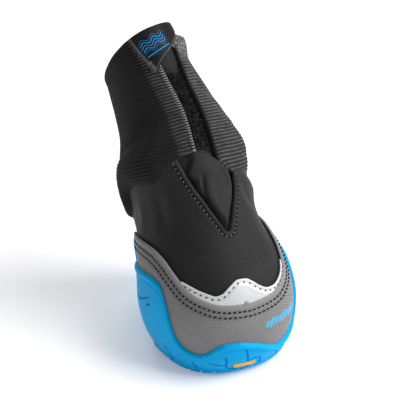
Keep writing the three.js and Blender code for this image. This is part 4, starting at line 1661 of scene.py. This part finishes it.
def gaiter_face(angle, row, low, high):
    """Face of the knit: out over the seam, slim above it and flared at the right flap."""
    away = np.abs(wrapped(angle))
    share = np.clip((row - low) / (high - low) / BULGE_HEIGHT, 0, 1)
    swell = np.sin(math.pi * share**BULGE_SKEW) ** BULGE_FULLNESS
    rolled = ROLLED_EDGE * smooth(row, high - 0.25, high)
    rise = BULGE_RISE * (1 - LESS_RIGHT * part_round(angle, *LESS_RIGHT_ANGLES))
    flared = FLARE_RISE * smooth(row, *FLARE_ROWS) * part_round(angle, *FLARE_ANGLES)
    return rise * smooth(away, *BULGE_ANGLES) * swell + flared + rolled


KNIT_FOLDS = [
    ([(-40, 9.4), (-62, 8.9), (-90, 8.4)], 2.6, -0.9),
    ([(-36, 8.6), (-60, 8.1), (-84, 7.7)], 2.4, 0.6),
    ([(-30, 8.3), (-48, 8.0), (-66, 7.6)], 1.6, -0.8),
    ([(26, 10.0), (40, 9.7), (62, 9.5)], 2.4, -0.8),
    ([(24, 9.0), (44, 8.8), (70, 8.5)], 3.0, 0.5),
    ([(30, 8.0), (48, 7.7), (66, 7.5)], 1.5, -0.9),
    ([(-60, 11.5), (-86, 11.2), (-110, 11.0)], 2.4, 0.5),
    ([(110, 9.4), (150, 9.0), (200, 8.8), (240, 9.2)], 3.6, -0.7),
    ([(120, 10.4), (160, 10.0), (210, 10.1), (240, 10.5)], 3.6, 0.5),
]


# How far the painted light, the hem and the near-black edge of the knit reach from the slit, in
# millimetres, and up the right flap
LEFT_BAND = 8.6
RIGHT_FLAP = 44
RIGHT_HEM = 22
RIGHT_HEM_ROWS = (10.7, 11.3)
DARK_SLIT_EDGE = 0.8


class DOGBOOT_OT_gaiter(Operator):
    """Make the ribbed knitted gaiter with its slit"""

    bl_idname = "dogboot.gaiter"
    bl_label = "Gaiter"

    def execute(self, context):
        sizes, shades = context.scene.boot_sizes, context.scene.boot_shades
        columns, rows = 124, 372
        fine = np.linspace(4.0, COLLAR_ROW, 400)
        rings = last_point(np.linspace(-170, 170, 18)[:, None], fine)
        lengths = np.linalg.norm(np.diff(rings, axis=1), axis=2).mean(0)
        height = np.concatenate(([0], np.cumsum(lengths)))
        level = np.interp(np.linspace(0, height[-1], rows), height, fine)[:, None]
        even = np.linspace(0, 1, columns)[None, :]
        share = even - 0.045 * np.sin(2 * math.pi * even)
        first, last = slit_right(level), 360 + slit_left(level)
        angle = first + (last - first) * share
        low = past(collar_edge)(angle)
        high = gaiter_top(angle)
        row = np.clip(level + 0 * angle, low, high)
        out = gaiter_face(angle, row, low, high)
        base = last_point(angle, row)
        for stops, width, rise in KNIT_FOLDS:
            turned = [(a if a > 0 else a + 360, r) for a, r in stops]
            out = out + fold(base, turned, width, rise) * smooth(row - low, 0.0, 0.25)
        wave = np.sin(np.radians(angle) * 5 + level * 1.3) * 0.14
        count = np.interp(row, fine, height) / (sizes.rib_pitch / MM) + wave
        hem = smooth(high - row, 0.02, 0.16) * smooth(row - low, 0.0, 0.12)
        steps = np.linalg.norm(np.diff(base, axis=1), axis=2)
        from_right = np.concatenate((np.zeros((rows, 1)), np.cumsum(steps, 1)), 1)
        from_left = from_right[:, -1:] - from_right
        out = out - 0.3 * smooth(1.2 - from_right, 0, 0.8) + 0.2 * smooth(1.4 - from_left, 0, 1)
        edge_share = smooth(from_right, 0.4, 1.4) * smooth(from_left, 0.6, 1.6)
        # Painted light: a lighter band along the left edge of the slit and over the whole right
        # flap.
        painted_light_left = smooth(from_left - 0.6, 0, 1) * smooth(LEFT_BAND - from_left, 0, 2.4)
        painted_light_right = smooth(RIGHT_FLAP - from_right, 0, 30)
        top_right = smooth(row, *RIGHT_HEM_ROWS) * smooth(RIGHT_HEM - from_right, 0, 6)
        piece = wall_piece(
            "ribbed_gaiter",
            angle,
            row,
            out,
            out - GAITER_WALL,
            knit_finish(shades),
            values={
                "rib": count,
                "raised": hem * edge_share,
                # painted light near the slit and on the right flap
                "wear_and_painted_light": np.clip(0.72 * painted_light_left + painted_light_right, 0, 1),
                # near-black along the right edge of the slit, below row 11.5
                "bound": smooth(DARK_SLIT_EDGE - from_right, 0, 0.4) * smooth(11.5 - row, 0, 0.3),
                "serge": smooth(1.1 - from_left, 0, 0.4),
                "hem": top_right,
            },
        )
        rib_tree().run(
            piece,
            rib_height=sizes.rib_height,
            knit_material=bpy.data.materials["ribbed_knit"],
        )
        place(piece, ["gaiter"])
        return {"FINISHED"}


PILE_ANGLES = (-12, 24)
PILE_TOP_ROW = 10.4
STRIP_HEAD_ROW = 10.45
STRIP_SEAM_ROW = 10.52
YARN = 0.00009


def across_strip(angle, row):
    """A line across the strip, lowest in the middle of the slit."""
    return row + 0.12 * ((angle - 6) / 12) ** 2


class DOGBOOT_OT_closure(Operator):
    """Make the loop strip behind the slit with its pile and its smooth head"""

    bl_idname = "dogboot.closure"
    bl_label = "Loop strip"

    def execute(self, context):
        sizes, shades = context.scene.boot_sizes, context.scene.boot_shades
        back = -GAITER_WALL - GAP
        angle, row = grid_between(
            STRIP_START_ANGLE,
            STRIP_END_ANGLE,
            past(lambda a: a * 0 + TONGUE_TOP_ROW),
            STRIP_TOP_ROW,
            columns=80,
            rows=100,
        )
        head = smooth(row - across_strip(angle, STRIP_HEAD_ROW), 0.0, 0.06)
        finish = plain_cloth_finish("loop_yarn", shades.pile, 1400.0, 0.95, 0.0003)
        tape = plain_cloth_finish("smooth_tape", srgb(30, 30, 31), 2600.0, 0.7)
        piece = wall_piece(
            "loop_strip",
            angle,
            row,
            back + 0.55 * head - 0.2,
            back - STRIP_WALL,
            tape,
        )
        place(piece, ["closure_strip"])

        angle, row = grid_between(
            *PILE_ANGLES,
            lambda a: collar_edge(a) + 0.07,
            lambda a: across_strip(a, PILE_TOP_ROW),
            columns=40,
            rows=60,
        )
        faces = quads(np.arange(angle.size).reshape(angle.shape)).tolist()
        cloth = on_last(angle, row, back + 0.1).reshape(-1, 3)
        wear_and_painted_light = plain_cloth_finish("wear_and_painted_light_yarn", srgb(84, 84, 85), 1400.0, 0.9)
        for name, density, size, seed, yarn in (
            ("loop_pile", 3.4e6, 0.00045, 4, finish),
            ("loop_ends", 5.0e5, 0.0004, 9, wear_and_painted_light),
        ):
            pile = plain_object(name, cloth, faces)
            pile_tree().run(
                pile,
                density=density,
                loop_size=size,
                yarn=YARN,
                seed=seed,
                yarn_material=yarn,
            )
            place(pile)
        edge = np.linspace(-5, 18, 120)
        line = [line_beside(edge, across_strip(edge, STRIP_SEAM_ROW), 0.5, back + 0.42)]
        dark = bpy.data.materials["black_thread"]
        sew("strip_stitches", line, sizes.strip_pitch, STRIP_STITCH, dark)
        return {"FINISHED"}


MOTIF_MIDDLE = (-5.0, 11.62)
MOTIF_LEFT = (-20.0, 11.72)
MOTIF_RIGHT = (12.0, 12.05)
STRAND_COUNT = 46
STRAND_RADIUS = 0.11
LABEL_FOLD = [(-31.5, 12.0), (-27.5, 11.5), (-23.0, 11.05), (-17.5, 10.62)]
LABEL_LOWER_EDGE = [(-16.5, 10.6), (0, 11.0), (20, 11.42), (43, 12.05)]


class DOGBOOT_OT_label(Operator):
    """Make the folded pull label at the collar with its frayed threads"""

    bl_idname = "dogboot.label"
    bl_label = "Pull label"

    def execute(self, context):
        shades = context.scene.boot_shades
        angle, row = grid_between(
            TAB_LOW[0][0],
            TAB_LOW[-1][0],
            curve_through(TAB_LOW),
            curve_through(TAB_HIGH),
            columns=190,
            rows=90,
        )
        face = ROLLED_EDGE + GAP
        base = last_point(angle, row)
        out = face + TAB_WALL - 0.45
        out = out + fold(base, [(-14, 10.9), (2, 11.5), (16, 12.0)], 3.0, 0.35)
        out = out + fold(base, LABEL_FOLD, 0.8, 0.3)
        middle = last_point(*MOTIF_MIDDLE)
        facing = outward(*MOTIF_MIDDLE)
        level = unit(last_point(*MOTIF_RIGHT) - last_point(*MOTIF_LEFT))
        upright = np.cross(facing, level)
        beside_fold = distance_to(base, path_on_last(LABEL_FOLD)[2])
        beside_edge = distance_to(base, path_on_last(LABEL_LOWER_EDGE)[2])
        crumple = distance_to(base, path_on_last([(-20, 10.85), (-17.5, 10.62)])[2])
        stitched = np.maximum(
            np.maximum(smooth(0.75 - beside_fold, 0, 0.45), smooth(1.5 - crumple, 0, 0.9)),
            0.8 * smooth(0.42 - beside_edge, 0, 0.25),
        )
        piece = wall_piece(
            "folded_label",
            angle,
            row,
            out,
            out - 0.75,
            label_finish(shades),
            values={
                "print_x": (base - middle) @ level,
                "print_y": (base - middle) @ upright,
                "stitched": stitched,
            },
        )
        place(piece, ["pull_tab"])

        rng = np.random.default_rng(5)
        fold_line = path_on_last(LABEL_FOLD)[:2]
        stops = np.arange(len(fold_line[0]))
        bow = np.linspace(0, 1, 9)
        strands = []
        for _ in range(STRAND_COUNT):
            at = rng.uniform(0, 1) * stops[-1]
            start = [np.interp(at, stops, values) for values in fold_line]
            way = rng.uniform(-5.5, -1.0), rng.uniform(-0.22, 0.12)
            strand_angle = start[0] + way[0] * bow + rng.normal(0, 1.0) * np.sin(bow * math.pi)
            strand_row = start[1] + way[1] * bow + rng.normal(0, 0.06) * np.sin(bow * math.pi)
            strand_row = np.minimum(strand_row, 11.95)
            height = 0.75 + 0.3 * np.sin(bow * math.pi)
            strands.append(on_last(strand_angle, strand_row, height))
        loose = thread_object("loose_threads", strands, STRAND_RADIUS)
        yarn = plain_cloth_finish("loose_yarn", srgb(92, 92, 93), 2600.0, 0.9)
        loose.data.materials.append(yarn)
        place(loose)
        return {"FINISHED"}


def thread_object(name, strands, radius):
    """Thin round strands along lines of points."""
    points, faces = [], []
    for line in strands:
        way = unit(np.gradient(line, axis=0))
        side = unit(np.cross(way, np.array([0.0, 0.3, 1.0])))
        rise = np.cross(side, way)
        turns = np.radians([0, 90, 180, 270])[:, None, None]
        ring = line + radius * (side * np.cos(turns) + rise * np.sin(turns))
        start = len(points)
        count = len(line)
        points.extend(ring.transpose(1, 0, 2).reshape(-1, 3).tolist())
        for k in range(count - 1):
            for j in range(4):
                a = start + 4 * k + j
                b = start + 4 * k + (j + 1) % 4
                faces.append((a, b, b + 4, a + 4))
        end = start + 4 * (count - 1)
        faces.append((start + 3, start + 2, start + 1, start))
        faces.append((end, end + 1, end + 2, end + 3))
    return plain_object(name, np.array(points), faces)


# Stage


FLOOR_REACH = 6000
LIT_SPOT = (0, 0, 0.06)
SOFTBOXES = (
    ("key_softbox", (0.85, -0.65, 1.0), 1.0, 25.0),
    ("fill_softbox", (-0.9, -0.6, 0.7), 0.9, 0.8),
    ("back_softbox", (0.3, 0.9, 1.1), 0.9, 8.0),
)

# The camera: azimuth, elevation and roll, and a point of the boot with its place in the frame
CAMERA_TURNS = (-23.0, 28.0, 3.0)
CAMERA_LENS = 152.2
CAMERA_TARGET = (0, -2.67, 60)
PHOTO_SIZE = 400
ANCHOR_POINT = (0.004, -56.87, 37.6)
ANCHOR_PIXEL = (250.0, 305.4)


class DOGBOOT_OT_stage(Operator):
    """Make the floor, the soft lights and the camera"""

    bl_idname = "dogboot.stage"
    bl_label = "Stage"

    def execute(self, context):
        scene = context.scene
        sizes, shades = scene.boot_sizes, scene.boot_shades
        corners = FLOOR_REACH * np.array([(-1, -1, 0), (1, -1, 0), (1, 1, 0), (-1, 1, 0)])
        floor = plain_object("floor", corners - ORIGIN, [(0, 1, 2, 3)])
        floor.data.materials.append(floor_finish(shades.floor))

        world = bpy.data.worlds.new("studio_air")
        world.use_nodes = True
        air = world.node_tree.nodes["Background"].inputs
        air["Color"].default_value = (1, 1, 1, 1)
        air["Strength"].default_value = 0.3
        scene.world = world
        for name, spot, size, watts in SOFTBOXES:
            light = bpy.data.lights.new(name, "AREA")
            light.shape = "SQUARE"
            light.size = size
            light.energy = watts
            lamp = bpy.data.objects.new(name, light)
            scene.collection.objects.link(lamp)
            lamp.location = spot
            lamp.rotation_mode = "QUATERNION"
            way = Vector(LIT_SPOT) - Vector(spot)
            lamp.rotation_quaternion = way.to_track_quat("-Z", "Y")

        azimuth, elevation, roll = (math.radians(turn) for turn in CAMERA_TURNS)
        right = Vector((math.cos(azimuth), math.sin(azimuth), 0))
        back = Vector(
            (
                math.sin(azimuth) * math.cos(elevation),
                -math.cos(azimuth) * math.cos(elevation),
                math.sin(elevation),
            )
        )
        up = back.cross(right)
        right, up = (
            right * math.cos(roll) - up * math.sin(roll),
            right * math.sin(roll) + up * math.cos(roll),
        )
        camera_data = bpy.data.cameras.new("camera")
        camera_data.lens = CAMERA_LENS
        camera_data.sensor_width = 36.0
        camera = bpy.data.objects.new("camera", camera_data)
        scene.collection.objects.link(camera)
        target, anchor = Vector(CAMERA_TARGET) * MM, Vector(ANCHOR_POINT) * MM
        pixels = PHOTO_SIZE * camera_data.lens / camera_data.sensor_width
        depth = sizes.camera_distance - (anchor - target).dot(back)
        middle = PHOTO_SIZE / 2
        aside = (anchor - target).dot(right) - (ANCHOR_PIXEL[0] - middle) * depth / pixels
        upward = (anchor - target).dot(up) + (ANCHOR_PIXEL[1] - middle) * depth / pixels
        spot = target + back * sizes.camera_distance + right * aside + up * upward
        turn = Matrix((right, up, back)).transposed().to_4x4()
        camera.matrix_world = Matrix.Translation(spot) @ turn
        scene.camera = camera
        scene.view_settings.view_transform = "Standard"
        return {"FINISHED"}


OPERATORS = (
    DOGBOOT_OT_stage,
    DOGBOOT_OT_outsole,
    DOGBOOT_OT_inlays,
    DOGBOOT_OT_insole,
    DOGBOOT_OT_upper,
    DOGBOOT_OT_tongue,
    DOGBOOT_OT_bumper,
    DOGBOOT_OT_trim,
    DOGBOOT_OT_gaiter,
    DOGBOOT_OT_closure,
    DOGBOOT_OT_label,
)


class DOGBOOT_PT_panel(Panel):
    """Lists the pieces of the boot in the sidebar"""

    bl_idname = "DOGBOOT_PT_panel"
    bl_label = "Dog Boot"
    bl_space_type = "VIEW_3D"
    bl_region_type = "UI"
    bl_category = "Dog Boot"

    def draw(self, context):
        for group in (context.scene.boot_sizes, context.scene.boot_shades):
            for name in group.__annotations__:
                self.layout.prop(group, name)
        for operator in OPERATORS:
            self.layout.operator(operator.bl_idname)


CLASSES = (BootSizes, BootShades, *OPERATORS, DOGBOOT_PT_panel)


def register():
    for item in CLASSES:
        bpy.utils.register_class(item)
    bpy.types.Scene.boot_sizes = PointerProperty(type=BootSizes)
    bpy.types.Scene.boot_shades = PointerProperty(type=BootShades)


def unregister():
    del bpy.types.Scene.boot_shades
    del bpy.types.Scene.boot_sizes
    for item in reversed(CLASSES):
        bpy.utils.unregister_class(item)


def main():
    register()
    for operator in OPERATORS:
        group, name = operator.bl_idname.split(".")
        getattr(getattr(bpy.ops, group), name)()
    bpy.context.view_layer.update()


if __name__ == "__main__":
    main()
